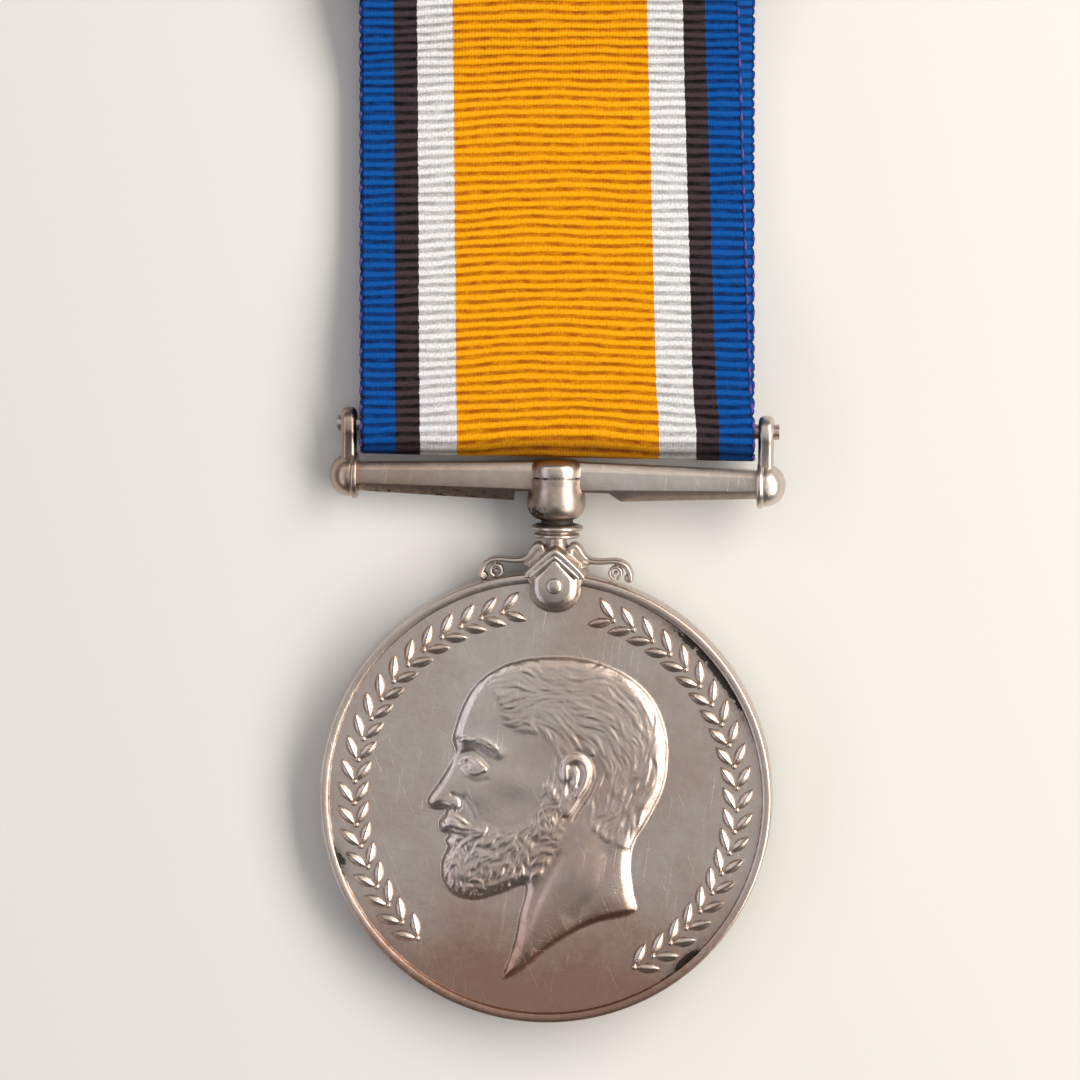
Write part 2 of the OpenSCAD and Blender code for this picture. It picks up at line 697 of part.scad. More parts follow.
// Plain brooch: a plate in the ribbon's top fold, and a pin behind it
module brooch_pin() {
  mid_x = rod_at(0)[0];
  half = ribbon_w / 2 + plate_side;
  color("darkgoldenrod") translate([mid_x, 0, 0]) {
    translate([-half - ear_t, brooch_y, plate_z]) cube([2 * (half + ear_t), plate_h, plate_t]);
    for (side = [0, 1])
      mirror([side, 0, 0]) translate([half, brooch_y, 0]) cube([ear_t, plate_h, plate_z + plate_t]);
    translate([-half - ear_t / 2, brooch_y + plate_h / 2, pin_d / 2])
      rotate([0, 90, 0]) cylinder(d = pin_d, h = 2 * half + ear_t);
  }
}

medal_disc();
claw();
claw_rivet();
suspender_bar();
ribbon_rod();
ribbon();
brooch_pin();
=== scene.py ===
# %% [markdown]
# # A silver medal on its ribbon
# The medal lies face up: a struck disc, a claw riveted to its rim, a straight bar suspender and a
# corded silk ribbon. The solids already exist, at their real size. This notebook dresses them: it
# reads where each solid lies, and builds the finer surface of each piece in the same place.

# %% Load the solids
import math

import bmesh
import bpy
import numpy as np
from mathutils import Matrix, Vector


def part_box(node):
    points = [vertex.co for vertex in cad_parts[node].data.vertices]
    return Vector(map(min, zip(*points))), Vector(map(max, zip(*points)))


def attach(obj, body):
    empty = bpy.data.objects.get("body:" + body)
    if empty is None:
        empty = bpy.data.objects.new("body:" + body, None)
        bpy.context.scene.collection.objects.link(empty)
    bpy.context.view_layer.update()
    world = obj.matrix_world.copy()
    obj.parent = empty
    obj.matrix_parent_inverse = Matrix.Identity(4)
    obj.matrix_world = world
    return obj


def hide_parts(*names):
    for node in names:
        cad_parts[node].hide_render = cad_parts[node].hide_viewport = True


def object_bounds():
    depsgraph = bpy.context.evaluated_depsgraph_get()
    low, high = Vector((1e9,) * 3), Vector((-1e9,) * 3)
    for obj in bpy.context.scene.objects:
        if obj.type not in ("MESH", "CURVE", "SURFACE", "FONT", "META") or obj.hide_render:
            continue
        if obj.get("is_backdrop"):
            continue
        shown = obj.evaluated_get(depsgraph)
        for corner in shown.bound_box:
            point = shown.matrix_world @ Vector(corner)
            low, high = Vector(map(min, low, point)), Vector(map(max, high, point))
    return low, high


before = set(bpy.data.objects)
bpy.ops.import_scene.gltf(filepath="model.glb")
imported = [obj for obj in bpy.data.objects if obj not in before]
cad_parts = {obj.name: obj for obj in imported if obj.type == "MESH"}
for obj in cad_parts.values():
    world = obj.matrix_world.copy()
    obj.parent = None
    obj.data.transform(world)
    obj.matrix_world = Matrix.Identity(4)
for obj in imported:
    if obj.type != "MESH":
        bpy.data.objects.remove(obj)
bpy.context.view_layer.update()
MM = 0.001

# %% [markdown]
# ## The camera
# A close view of a flat thing needs a long lens, or the near side would look too big. The camera
# stands a little over a metre away, over the ribbon's side by a few degrees, so that the rings of the
# collar sag a little in the picture. It is aimed at the point that the photograph has in its middle.

# %% Camera
VIEW_FAR = 1200
VIEW_ELEVATION = 96
VIEW_MIDDLE = Vector((-0.93, -5.62, 1.5))
VIEW_WIDTH = 85.9
SENSOR = 36


def new_object(name, data):
    """An object in the scene, made from a mesh, a light or a camera."""
    made = bpy.data.objects.new(name, data)
    bpy.context.scene.collection.objects.link(made)
    return made


def aim(thing, target, far, azimuth, elevation):
    """Puts a thing at a distance from a target, in mm, and turns it to look there."""
    a, e = math.radians(azimuth), math.radians(elevation)
    back = Vector((math.sin(a) * math.cos(e), -math.cos(a) * math.cos(e), math.sin(e)))
    right = Vector((math.cos(a), math.sin(a), 0))
    thing.location = (target + back * far) * MM
    thing.rotation_mode = "QUATERNION"
    thing.rotation_quaternion = Matrix((right, back.cross(right), back)).transposed().to_quaternion()


lens = bpy.data.cameras.new("camera")
lens.sensor_width = SENSOR
lens.lens = SENSOR * VIEW_FAR / VIEW_WIDTH
lens.clip_start, lens.clip_end = 0.01, 10
camera = new_object("camera", lens)
aim(camera, VIEW_MIDDLE, VIEW_FAR, 0, VIEW_ELEVATION)
bpy.context.scene.camera = camera
bpy.context.scene.view_settings.view_transform = "Standard"
print("lens of", round(lens.lens), "mm")

# %% [markdown]
# ## Nodes and colours
# Every material and every Geometry Nodes tree below is built with one helper, which adds a node,
# sets its properties, and fills or links its inputs. Colours are written as the sRGB hex values that
# a painter would pick, and one function turns them into the linear values that the shader works in.


# %% Helpers for nodes and colours
def add_node(tree, kind, inputs=None, **settings):
    """Adds a node. An input takes a value, an output, or a node whose first output feeds it."""
    made = tree.nodes.new(kind)
    for name, value in settings.items():
        setattr(made, name, value)
    for name, value in (inputs or {}).items():
        if isinstance(value, bpy.types.Node):
            value = value.outputs[0]
        if isinstance(value, bpy.types.NodeSocket):
            tree.links.new(value, made.inputs[name])
        else:
            made.inputs[name].default_value = value
    return made


def linear(code):
    """Linear colour of an sRGB hex value."""
    shares = [int(code[i : i + 2], 16) / 255 for i in (1, 3, 5)]
    return [s / 12.92 if s <= 0.04045 else ((s + 0.055) / 1.055) ** 2.4 for s in shares] + [1.0]


def new_material(name):
    """An empty material and its tree."""
    made = bpy.data.materials.new(name)
    made.use_nodes = True
    made.node_tree.nodes.clear()
    return made, made.node_tree


def finish_material(tree, inputs):
    """Ends a material's tree with its shader and its output."""
    shader = add_node(tree, "ShaderNodeBsdfPrincipled", inputs)
    add_node(tree, "ShaderNodeOutputMaterial", {"Surface": shader})


print("a mid grey of #808080 is", round(linear("#808080")[0], 3), "in linear light")

# %% [markdown]
# ## The light and the floor
# Polished metal shows its surroundings, so the light is part of its look. The key is a long soft
# panel on the right, because the photograph's shadows fall to the left. A weaker one fills from the
# left, a wide one hangs overhead, and a faint one stands behind the ribbon. A pale sky over all keeps
# the reflections from going black. The floor is a plain pale sheet that the medal rests on.


# %% Light and floor
def panel(name, azimuth, elevation, far, size, watts, warmth):
    """A soft light panel, in mm, aimed at the medal."""
    light = bpy.data.lights.new(name, "AREA")
    light.shape = "RECTANGLE"
    light.size, light.size_y = size[0] * MM, size[1] * MM
    light.energy = watts
    light.color = linear(warmth)[:3]
    aim(new_object(name, light), Vector((0, 0, 0)), far, azimuth, elevation)


panel("key_panel", 97, 40, 420, (760, 230), 3.3, "#fffaf2")
panel("fill_panel", -88, 38, 420, (760, 170), 0.60, "#f6f4ff")
panel("top_panel", 165, 84, 520, (640, 520), 0.56, "#ffffff")
panel("back_panel", 180, 48, 420, (700, 140), 0.30, "#fff6ec")

world = bpy.data.worlds.new("pale_room")
world.use_nodes = True
sky = world.node_tree.nodes["Background"].inputs
sky["Color"].default_value, sky["Strength"].default_value = linear("#d8dadc"), 0.11
bpy.context.scene.world = world

FLOOR_HALF = 900
floor_mesh = bpy.data.meshes.new("floor")
floor_ends = [(-1, -1), (1, -1), (1, 1), (-1, 1)]
floor_points = [(x * FLOOR_HALF * MM, y * FLOOR_HALF * MM, 0) for x, y in floor_ends]
floor_mesh.from_pydata(floor_points, [], [(0, 1, 2, 3)])
floor_paint, tree = new_material("pale_matt_board")
finish_material(tree, {"Base Color": linear("#dcdad6"), "Roughness": 0.85})
floor_mesh.materials.append(floor_paint)
new_object("floor", floor_mesh)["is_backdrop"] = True

# %% [markdown]
# ## Where the metal lies
# The metal lies a little tilted, on three points, so its pieces are made flat in millimetres and
# then laid in place by one matrix. The matrix comes from the solids themselves. The rivet's long
# axis is the way out of the medal's face, the ribbon rod's axis is the way to the right, and the
# ring of points low on the disc's edge gives the disc's centre.


# %% Frames of the metal and of the disc
def read(items, field, width=3, kind=float):
    """One field of all of a mesh's vertices or edges, as rows of numbers."""
    flat = np.zeros(len(items) * width, kind)
    items.foreach_get(field, flat)
    return flat.reshape(-1, width)


def moved_by(matrix, points):
    """Points moved by a matrix."""
    turn = np.array(matrix)
    return np.asarray(points) @ turn[:3, :3].T + turn[:3, 3]


def points_of(node):
    """Corners of a solid, in mm."""
    return np.unique(np.round(read(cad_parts[node].data.vertices, "co") / MM, 5), axis=0)


def long_axis(points, like):
    """Middle of a turned solid and the direction of its axis, on the side of like."""
    middle = (points.max(0) + points.min(0)) / 2
    axis = np.linalg.svd(points - points.mean(0), full_matrices=False)[2][0]
    return Vector(middle), Vector(axis if axis @ like > 0 else -axis)


def place_matrix(middle, right, out_of_face):
    """Matrix from flat millimetres to the place of the metal, in metres."""
    z = out_of_face.normalized()
    x = (right - z * right.dot(z)).normalized()
    turn = Matrix((x, z.cross(x), z)).transposed().to_4x4()
    return Matrix.Scale(MM, 4) @ Matrix.Translation(middle) @ turn


DISC_T = 3
RIM_ROUND = 0.2
RING_Z = RIM_ROUND - DISC_T / 2
rivet_mid, face_out = long_axis(points_of("claw_rivet"), np.array((0, 0, 1)))
rod_mid, rod_right = long_axis(points_of("ribbon_rod"), np.array((1, 0, 0)))
metal = place_matrix(rivet_mid, rod_right, face_out)
to_metal = metal.inverted()


def flat_points(node):
    """Corners of a solid in the metal's flat frame, in mm."""
    return moved_by(to_metal @ Matrix.Scale(MM, 4), points_of(node))


low_ring = flat_points("medal_disc")
low_ring = low_ring[np.abs(low_ring[:, 2] - RING_Z) < 0.01][:, :2]
circle = np.c_[2 * low_ring, np.ones(len(low_ring))]
fit = np.linalg.lstsq(circle, (low_ring**2).sum(1), rcond=None)[0]
disc_mid = fit[:2]
DISC_R = float(np.sqrt(fit[2] + disc_mid @ disc_mid))
disc_skew = math.atan2(disc_mid[0], -disc_mid[1])
face = metal @ Matrix.Translation((*disc_mid, 0)) @ Matrix.Rotation(disc_skew, 4, "Z")
tilt = math.degrees(face_out.angle((0, 0, 1)))
print("disc radius", round(DISC_R, 2), "mm, tilt", round(tilt, 2), "degrees")

# %% [markdown]
# ## From points to pieces
# Pieces that are turned, rolled or struck are grids of points, which is quicker and neater in numpy
# than adding points one by one. These helpers join a grid's points with faces, close the ends of a
# turned shape with a point on its axis, and put the finished mesh in its place.


# %% Helpers for meshes
def grid_faces(rows, cols, wrap_rows=False, wrap_cols=False, start=0):
    """Four-sided faces of a grid of points that are numbered row by row, as a list."""
    r = np.arange(rows if wrap_rows else rows - 1)
    c = np.arange(cols if wrap_cols else cols - 1)
    rr, cc = np.meshgrid(r, c, indexing="ij")
    up, on = (rr + 1) % rows, (cc + 1) % cols
    quads = np.stack([rr * cols + cc, rr * cols + on, up * cols + on, up * cols + cc], -1)
    return (quads.reshape(-1, 4) + start).tolist()


def coat(piece, material=None, sharp=180):
    """Gives a piece one material and smooth shading, but for edges that bend more than an angle."""
    if material:
        piece.data.materials.clear()
        piece.data.materials.append(material)
    piece.data.shade_smooth()
    if sharp < 180:
        piece.data.set_sharp_from_angle(angle=math.radians(sharp))


def make_piece(name, points, faces, place=Matrix.Identity(4)):
    """A mesh object from points in flat millimetres. Its place ends up in its mesh."""
    mesh = bpy.data.meshes.new(name)
    mesh.from_pydata(np.asarray(points, float).tolist(), [], faces)
    mesh.transform(place)
    mesh.validate()
    return new_object(name, mesh)


def outward(piece, near=1e-7):
    """Merges points nearer than this, turns faces outwards and reports whether the piece is closed."""
    work = bmesh.new()
    work.from_mesh(piece.data)
    bmesh.ops.remove_doubles(work, verts=work.verts, dist=near)
    bmesh.ops.recalc_face_normals(work, faces=work.faces)
    open_edges = sum(1 for e in work.edges if len(e.link_faces) != 2)
    work.to_mesh(piece.data)
    work.free()
    print(piece.name, len(piece.data.polygons), "faces,", open_edges, "open edges")
    return piece


def paint(piece, name, values):
    """Stores a number on each point of a piece, or one number on all, for its material to read."""
    layer = piece.data.attributes.new(name, "FLOAT", "POINT")
    values = np.broadcast_to(np.clip(values, 0, 1), len(piece.data.vertices))
    layer.data.foreach_set("value", np.asarray(values, np.float32))


def repeated(outline, profile):
    """An outline of radius 1, once for each radius and height of a profile."""
    return np.concatenate([np.c_[outline * r, np.full(len(outline), z)] for r, z in profile])


def turned(profile, place=Matrix.Identity(4), sides=64):
    """Points and faces of a profile of radius and height turned about Z, closed, and placed."""
    angle = np.linspace(0, 2 * math.pi, sides, endpoint=False)
    profile = np.asarray(profile, float)
    ring = np.stack([np.cos(angle), np.sin(angle)], -1)
    points = repeated(ring, profile)
    faces = grid_faces(len(profile), sides, wrap_cols=True)
    first, last = len(points), len(points) - sides
    points = np.concatenate([points, [(0, 0, profile[0][1]), (0, 0, profile[-1][1])]])
    for c in range(sides):
        n = (c + 1) % sides
        faces += [[first, n, c], [first + 1, last + c, last + n]]
    return moved_by(place, points), faces


def smooth(t):
    """Eases from 0 to 1."""
    t = np.clip(t, 0, 1)
    return t * t * (3 - 2 * t)


sample = turned([(1, 0), (2, 1), (1, 2)], sides=8)
print("a turned profile of 3 points on 8 sides has", len(sample[1]), "faces")

# %% [markdown]
# ## Struck silver
# The disc is sterling silver, struck between dies, then handled for a century. A struck field is
# nearly a mirror that fine scratches have softened, so its roughness is middling. Sulphur in the
# air tones silver pinkish brown, more at one edge, and leaves dark specks where a cloth can't
# reach. The hollow places, and painted shade on the low and shaded sides, are read from attributes
# of the mesh, so that toning and dark follow the relief.


# %% Silver
# Direction in degrees and seed of each set of scratches, and how far their noise is drawn out
SCRATCHES = ((24, 3), (-52, 17), (81, 29), (-8, 43), (58, 61))
SCRATCH_WIDE, SCRATCH_FINE = 1 / 13, 70 / 13


def scratches(tree, in_mm):
    """Hairlines in several directions: noise that is drawn out to long streaks."""
    worn = 0.0
    for turn, seed in SCRATCHES:
        inputs = {"Vector": in_mm, "Location": (seed, seed, 0), "Rotation": (0, 0, math.radians(turn))}
        inputs["Scale"] = (SCRATCH_WIDE, SCRATCH_FINE, SCRATCH_FINE)
        streak = add_node(tree, "ShaderNodeMapping", inputs, vector_type="TEXTURE")
        noise = add_node(tree, "ShaderNodeTexNoise", {"Vector": streak, "Scale": 1.0, "Detail": 1.0})
        line = add_node(tree, "ShaderNodeMapRange", {0: noise, 1: 0.66, 2: 0.76})
        worn = add_node(tree, "ShaderNodeMath", {0: worn, 1: line}, operation="MAXIMUM")
    return worn


def silver(name, clean, toned, dark, polish, marks, grain):
    """Old silver: toning in clouds, dark hollows and painted shade, scratches and a soft grain. Sizes in mm.
    """
    made, tree = new_material(name)
    place = add_node(tree, "ShaderNodeTexCoord").outputs["Object"]
    in_mm = add_node(tree, "ShaderNodeVectorMath", {0: place, 1: (1 / MM,) * 3}, operation="MULTIPLY")
    # Scale per mm, detail and roughness of each noise
    cloud, fleck, wave, pits = (
        add_node(tree, "ShaderNodeTexNoise", {"Vector": in_mm, "Scale": s, "Detail": d, "Roughness": r})
        for s, d, r in ((0.11, 5.0, 0.6), (1.7, 6.0, 0.7), (0.28, 2.0, 0.5), (grain, 4.0, 0.65))
    )
    # The first attribute holds real toning, and on the bar it also holds painted shade
    tone_and_shade = add_node(tree, "ShaderNodeAttribute", attribute_name="toning").outputs["Fac"]
    # The second attribute holds real tarnish in the hollows together with painted shade on the low and shaded
    # sides of the metal
    hollow = add_node(tree, "ShaderNodeAttribute", attribute_name="hollow").outputs["Fac"]
    share = add_node(tree, "ShaderNodeMapRange", {0: cloud, 1: 0.35, 2: 0.75, 4: 0.55})
    mottle = add_node(tree, "ShaderNodeMapRange", {0: fleck, 1: 0.3, 2: 0.7, 3: -0.10, 4: 0.10})
    for part in (tone_and_shade, mottle):
        share = add_node(tree, "ShaderNodeMath", {0: share, 1: part}, operation="ADD")
    speck = add_node(tree, "ShaderNodeMapRange", {0: fleck, 1: 0.36, 2: 0.56, 3: 0.20, 4: 0.70})
    thin = add_node(tree, "ShaderNodeMath", {0: hollow, 1: speck}, operation="MULTIPLY")
    ragged = add_node(tree, "ShaderNodeMath", {0: fleck, 1: 1.8, 2: hollow}, operation="MULTIPLY_ADD")
    thick = add_node(tree, "ShaderNodeMapRange", {0: ragged, 1: 1.60, 2: 1.74, 4: 0.9})
    # Tarnish and painted shade darken the colour together here
    grime_and_shade = add_node(tree, "ShaderNodeMath", {0: thin, 1: thick}, operation="MAXIMUM")
    colour = linear(clean)
    for part, hue in ((share, toned), (grime_and_shade, dark)):
        both = {0: part, 6: colour, 7: linear(hue)}
        colour = add_node(tree, "ShaderNodeMix", both, data_type="RGBA").outputs[2]
    worn = scratches(tree, in_mm)
    smears = {0: cloud, 1: 0.3, 2: 0.7, 3: polish - 0.04, 4: polish + 0.05}
    rough = add_node(tree, "ShaderNodeMapRange", smears)
    for part, weight in ((grime_and_shade, 0.35), (worn, 0.06)):
        rough = add_node(tree, "ShaderNodeMath", {0: part, 1: weight, 2: rough}, operation="MULTIPLY_ADD")
    height = 0.0
    for part, weight in ((worn, -marks), (pits, 0.8), (wave, 5.0)):
        height = add_node(tree, "ShaderNodeMath", {0: part, 1: weight, 2: height}, operation="MULTIPLY_ADD")
    bump = add_node(tree, "ShaderNodeBump", {"Strength": 0.6, "Distance": 0.012 * MM, "Height": height})
    finish_material(tree, {"Base Color": colour, "Metallic": 1.0, "Roughness": rough, "Normal": bump})
    return made


struck_silver = silver("struck_sterling_silver", "#d9cfc6", "#a98676", "#211b17", 0.32, 0.6, 9.0)
cast_silver = silver("cast_sterling_silver", "#ded5cd", "#b19c8e", "#241d19", 0.30, 0.6, 6.0)
print("silver:", struck_silver.name, cast_silver.name)

# %% [markdown]
# ## The head in relief: its drawing
# The head is a plain classical one, drawn for this medal on the proportions of a drawing manual:
# the eye at half height, the brow and the base of the nose a third of the face apart, the ear
# between them. All its tables give shares of the head's width, from the nose to the back of the
# head, and of its height, from the beard's lower edge to the crown.

# %% Tables of the head
HEAD_W = 19.2
HEAD_H = 19.6
HEAD_TOP = 11.4
HEAD_OUTLINE = [
    (0.560, 1.000), (0.400, 0.985), (0.270, 0.938), (0.185, 0.865), (0.138, 0.780), (0.112, 0.700),
    (0.101, 0.640), (0.116, 0.590), (0.092, 0.530), (0.048, 0.455), (0.010, 0.396), (0.010, 0.368),
    (0.036, 0.350), (0.090, 0.342), (0.064, 0.303), (0.068, 0.268), (0.100, 0.247), (0.088, 0.221),
    (0.100, 0.194), (0.080, 0.140), (0.088, 0.060), (0.140, 0.004), (0.230, -0.012), (0.340, 0.022),
    (0.430, 0.055), (0.412, -0.060), (0.392, -0.190), (0.355, -0.335), (0.440, -0.292), (0.560, -0.185),
    (0.720, -0.088), (0.890, -0.035), (0.882, 0.060), (0.868, 0.150), (0.876, 0.250), (0.925, 0.340),
    (0.980, 0.460), (1.000, 0.590), (0.985, 0.720), (0.930, 0.840), (0.830, 0.930), (0.700, 0.983),
]
NECK_CUT = HEAD_OUTLINE[27:32]
HAIR = [
    (0.185, 0.880), (0.255, 0.845), (0.300, 0.790), (0.318, 0.725), (0.385, 0.690), (0.470, 0.685),
    (0.515, 0.640), (0.512, 0.560), (0.500, 0.460), (0.545, 0.420), (0.575, 0.470), (0.580, 0.560),
    (0.620, 0.625), (0.690, 0.600), (0.700, 0.500), (0.680, 0.410), (0.690, 0.330), (0.750, 0.270),
    (0.830, 0.235), (0.900, 0.225), (0.960, 0.340), (1.040, 0.460), (1.060, 0.600), (1.040, 0.760),
    (0.960, 0.900), (0.840, 1.000), (0.680, 1.060), (0.500, 1.070), (0.330, 1.040), (0.200, 0.960),
]
BEARD = [
    (0.500, 0.480), (0.490, 0.400), (0.440, 0.325), (0.370, 0.285), (0.300, 0.282), (0.250, 0.295),
    (0.200, 0.262), (0.160, 0.236), (0.110, 0.212), (0.050, 0.190), (0.030, 0.060), (0.100, -0.050),
    (0.230, -0.070), (0.350, -0.030), (0.440, 0.045), (0.500, 0.110), (0.548, 0.200), (0.578, 0.290),
    (0.580, 0.370), (0.550, 0.450),
]
MOUSTACHE = [
    (0.088, 0.346), (0.125, 0.338), (0.165, 0.316), (0.205, 0.290), (0.246, 0.280), (0.262, 0.292),
    (0.266, 0.276), (0.240, 0.252), (0.195, 0.248), (0.150, 0.256), (0.105, 0.262), (0.052, 0.258),
    (0.040, 0.300), (0.058, 0.330),
]
EYEBROW = [
    (0.112, 0.632), (0.160, 0.660), (0.225, 0.656), (0.292, 0.620), (0.288, 0.606), (0.225, 0.630),
    (0.160, 0.636),
]
EAR = [
    (0.560, 0.535), (0.572, 0.585), (0.615, 0.612), (0.662, 0.595), (0.686, 0.545), (0.676, 0.485),
    (0.645, 0.430), (0.622, 0.385), (0.596, 0.352), (0.570, 0.362), (0.562, 0.400), (0.572, 0.440),
    (0.578, 0.480),
]
# Direction in which the hair grows. Columns: across, up, degrees.
HAIR_FLOW = [
    (0.20, 0.88, 62), (0.28, 0.93, 38), (0.40, 0.97, 18), (0.56, 0.99, 0), (0.70, 0.97, -16),
    (0.83, 0.92, -35), (0.93, 0.83, -55), (0.98, 0.70, -78), (0.99, 0.58, -95), (0.96, 0.44, -112),
    (0.90, 0.32, -118), (0.82, 0.27, -105), (0.30, 0.83, 20), (0.36, 0.76, -5), (0.40, 0.85, 8),
    (0.50, 0.90, -2),
    (0.62, 0.88, -18), (0.75, 0.82, -38), (0.84, 0.70, -62), (0.86, 0.56, -85), (0.82, 0.42, -102),
    (0.76, 0.33, -105), (0.46, 0.74, -30), (0.55, 0.76, -32), (0.66, 0.72, -48), (0.74, 0.62, -72),
    (0.50, 0.64, -78), (0.53, 0.55, -95), (0.52, 0.46, -98), (0.60, 0.66, -40),
]
BEARD_FLOW = [
    (0.52, 0.45, -96), (0.53, 0.32, -104), (0.50, 0.22, -118), (0.44, 0.30, -112), (0.40, 0.20, -122),
    (0.36, 0.10, -128), (0.32, 0.25, -112), (0.26, 0.15, -112), (0.20, 0.24, -110), (0.14, 0.18, -104),
    (0.10, 0.10, -100), (0.16, 0.05, -95), (0.25, 0.03, -105), (0.46, 0.12, -135),
]
MOUSTACHE_FLOW = [
    (0.06, 0.31, -70), (0.10, 0.32, -45), (0.15, 0.30, -32), (0.20, 0.275, -12), (0.25, 0.28, 25),
    (0.12, 0.275, -30),
]
EYEBROW_FLOW = [(0.12, 0.63, 55), (0.17, 0.65, 15), (0.23, 0.64, -12), (0.29, 0.61, -32)]
# Soft swellings and hollows. Columns: across, up, half width, half height, slant in degrees, height in mm.
FORMS = {
    "back of the skull": (0.660, 0.740, 0.300, 0.220, 20, 0.080),
    "forehead": (0.210, 0.760, 0.090, 0.110, 10, 0.045),
    "temple": (0.350, 0.665, 0.080, 0.090, 0, -0.075),
    "cheekbone": (0.330, 0.490, 0.130, 0.055, -14, 0.080),
    "cheek": (0.235, 0.410, 0.065, 0.055, 20, 0.055),
    "hollow of the cheek": (0.385, 0.385, 0.090, 0.070, 40, -0.050),
    "eye socket": (0.160, 0.562, 0.052, 0.044, 0, -0.230),
    "under the brow": (0.250, 0.578, 0.070, 0.034, -20, -0.060),
    "eyeball": (0.190, 0.537, 0.042, 0.034, -6, 0.170),
    "tip of the nose": (0.038, 0.386, 0.034, 0.030, 0, 0.090),
    "wing of the nose": (0.113, 0.374, 0.036, 0.028, 10, 0.190),
    "nostril": (0.084, 0.353, 0.022, 0.010, 12, -0.150),
    "side of the neck": (0.730, 0.160, 0.100, 0.120, -20, 0.050),
}
EAR_RIM = [
    (0.585, 0.505), (0.582, 0.560), (0.618, 0.590), (0.655, 0.572), (0.668, 0.530), (0.655, 0.480),
    (0.632, 0.440),
]
EAR_BACK = [(0.690, 0.600), (0.712, 0.530), (0.690, 0.450), (0.655, 0.395), (0.625, 0.340)]
# Ridges and grooves along a line. Columns: points, half width in mm, height in mm.
LINES = {
    "brow": ([(0.118, 0.618), (0.165, 0.638), (0.235, 0.630), (0.300, 0.598)], 0.50, 0.125),
    "bridge of the nose": ([(0.135, 0.590), (0.108, 0.520), (0.066, 0.430)], 0.50, 0.075),
    "upper eyelid": ([(0.146, 0.545), (0.164, 0.565), (0.200, 0.563), (0.246, 0.526)], 0.12, 0.105),
    "lower eyelid": ([(0.152, 0.524), (0.178, 0.508), (0.212, 0.508), (0.246, 0.524)], 0.10, 0.070),
    "fold above the eyelid": ([(0.152, 0.586), (0.190, 0.595), (0.232, 0.576), (0.268, 0.540)], 0.11, -0.070),
    "under the eyelid": ([(0.154, 0.540), (0.172, 0.549), (0.202, 0.546), (0.236, 0.528)], 0.06, -0.070),
    "iris": ([(0.168, 0.545), (0.178, 0.536), (0.170, 0.524)], 0.06, -0.045),
    "fold below the eye": ([(0.168, 0.486), (0.210, 0.472), (0.256, 0.482)], 0.20, -0.030),
    "crease of the nose": ([(0.112, 0.416), (0.144, 0.404), (0.155, 0.376), (0.140, 0.350)], 0.12, -0.120),
    "fold of the cheek": ([(0.165, 0.400), (0.198, 0.362), (0.216, 0.322)], 0.30, -0.070),
    "neck muscle": ([(0.690, 0.300), (0.620, 0.140), (0.520, -0.020), (0.440, -0.200)], 0.85, 0.120),
    "throat": ([(0.560, 0.180), (0.500, 0.040), (0.455, -0.100), (0.420, -0.230)], 0.50, -0.080),
    "nape": ([(0.770, 0.200), (0.740, 0.060), (0.640, -0.060)], 0.60, -0.070),
    "ear's rim": (EAR_RIM, 0.17, 0.095),
    "inside the ear's rim": ([(0.598, 0.560), (0.628, 0.562), (0.645, 0.530), (0.634, 0.480)], 0.15, -0.13),
    "ear's inner fold": ([(0.612, 0.540), (0.625, 0.505), (0.618, 0.455), (0.598, 0.425)], 0.12, 0.060),
    "behind the ear": (EAR_BACK, 0.16, -0.090),
}
EAR_FORMS = {
    "ear's cup": (0.598, 0.470, 0.018, 0.036, 12, -0.240),
    "ear's flap": (0.572, 0.460, 0.012, 0.020, 10, 0.060),
    "earlobe": (0.592, 0.378, 0.020, 0.022, 10, 0.060),
}
LIP = [(0.098, 0.228), (0.130, 0.232), (0.162, 0.240)]
print("head", HEAD_W, "by", HEAD_H, "mm,", len(HEAD_OUTLINE), "points of outline")

# %% [markdown]
# ## The head in relief: its modelling
# A die sinker models a head as thin layers over one swell. The same layers are added here on a fine
# map of heights: an edge, the swell, soft forms, then the folds. The map could be sculpted by
# hand in Blender, but numbers keep it the same in each run. Distances to the drawn lines do most of
# the work: how far a point lies inside the outline, or from the middle of a fold.


# %% Drawing tools for the relief
MAP_STEP = 0.07
map_x = np.arange(-11.2, 11.2, MAP_STEP)
map_y = np.arange(-16.4, 13.2, MAP_STEP)
X, Y = np.meshgrid(map_x, map_y)


def on_disc(share):
    """Place on the disc of a point given in shares of the head."""
    share = np.asarray(share, float)
    return np.stack([(share[..., 0] - 0.5) * HEAD_W, HEAD_TOP - HEAD_H * (1 - share[..., 1])], -1)


def flowing(points, steps, closed=False):
    """A smooth line through points."""
    p = np.asarray(points, float)
    n = len(p)
    t = np.linspace(0, 1, steps, endpoint=False)[:, None]
    out = []
    for i in range(n if closed else n - 1):
        near = [(i + k) % n if closed else min(max(i + k, 0), n - 1) for k in (-1, 0, 1, 2)]
        a, b, c, d = p[near]
        bend, twist = 2 * a - 5 * b + 4 * c - d, 3 * b - a - 3 * c + d
        out.append(0.5 * (2 * b + (c - a) * t + bend * t**2 + twist * t**3))
    out.append(p[:1] if closed else p[-1:])
    return np.concatenate(out)


def far_from(line):
    """Distance of each point of the map from a line."""
    best = np.full(X.shape, 1e9)
    for (ax, ay), (bx, by) in zip(line[:-1], line[1:]):
        run = (bx - ax) ** 2 + (by - ay) ** 2
        t = np.clip(((X - ax) * (bx - ax) + (Y - ay) * (by - ay)) / max(run, 1e-12), 0, 1)
        np.minimum(best, (X - ax - t * (bx - ax)) ** 2 + (Y - ay - t * (by - ay)) ** 2, out=best)
    return np.sqrt(best)


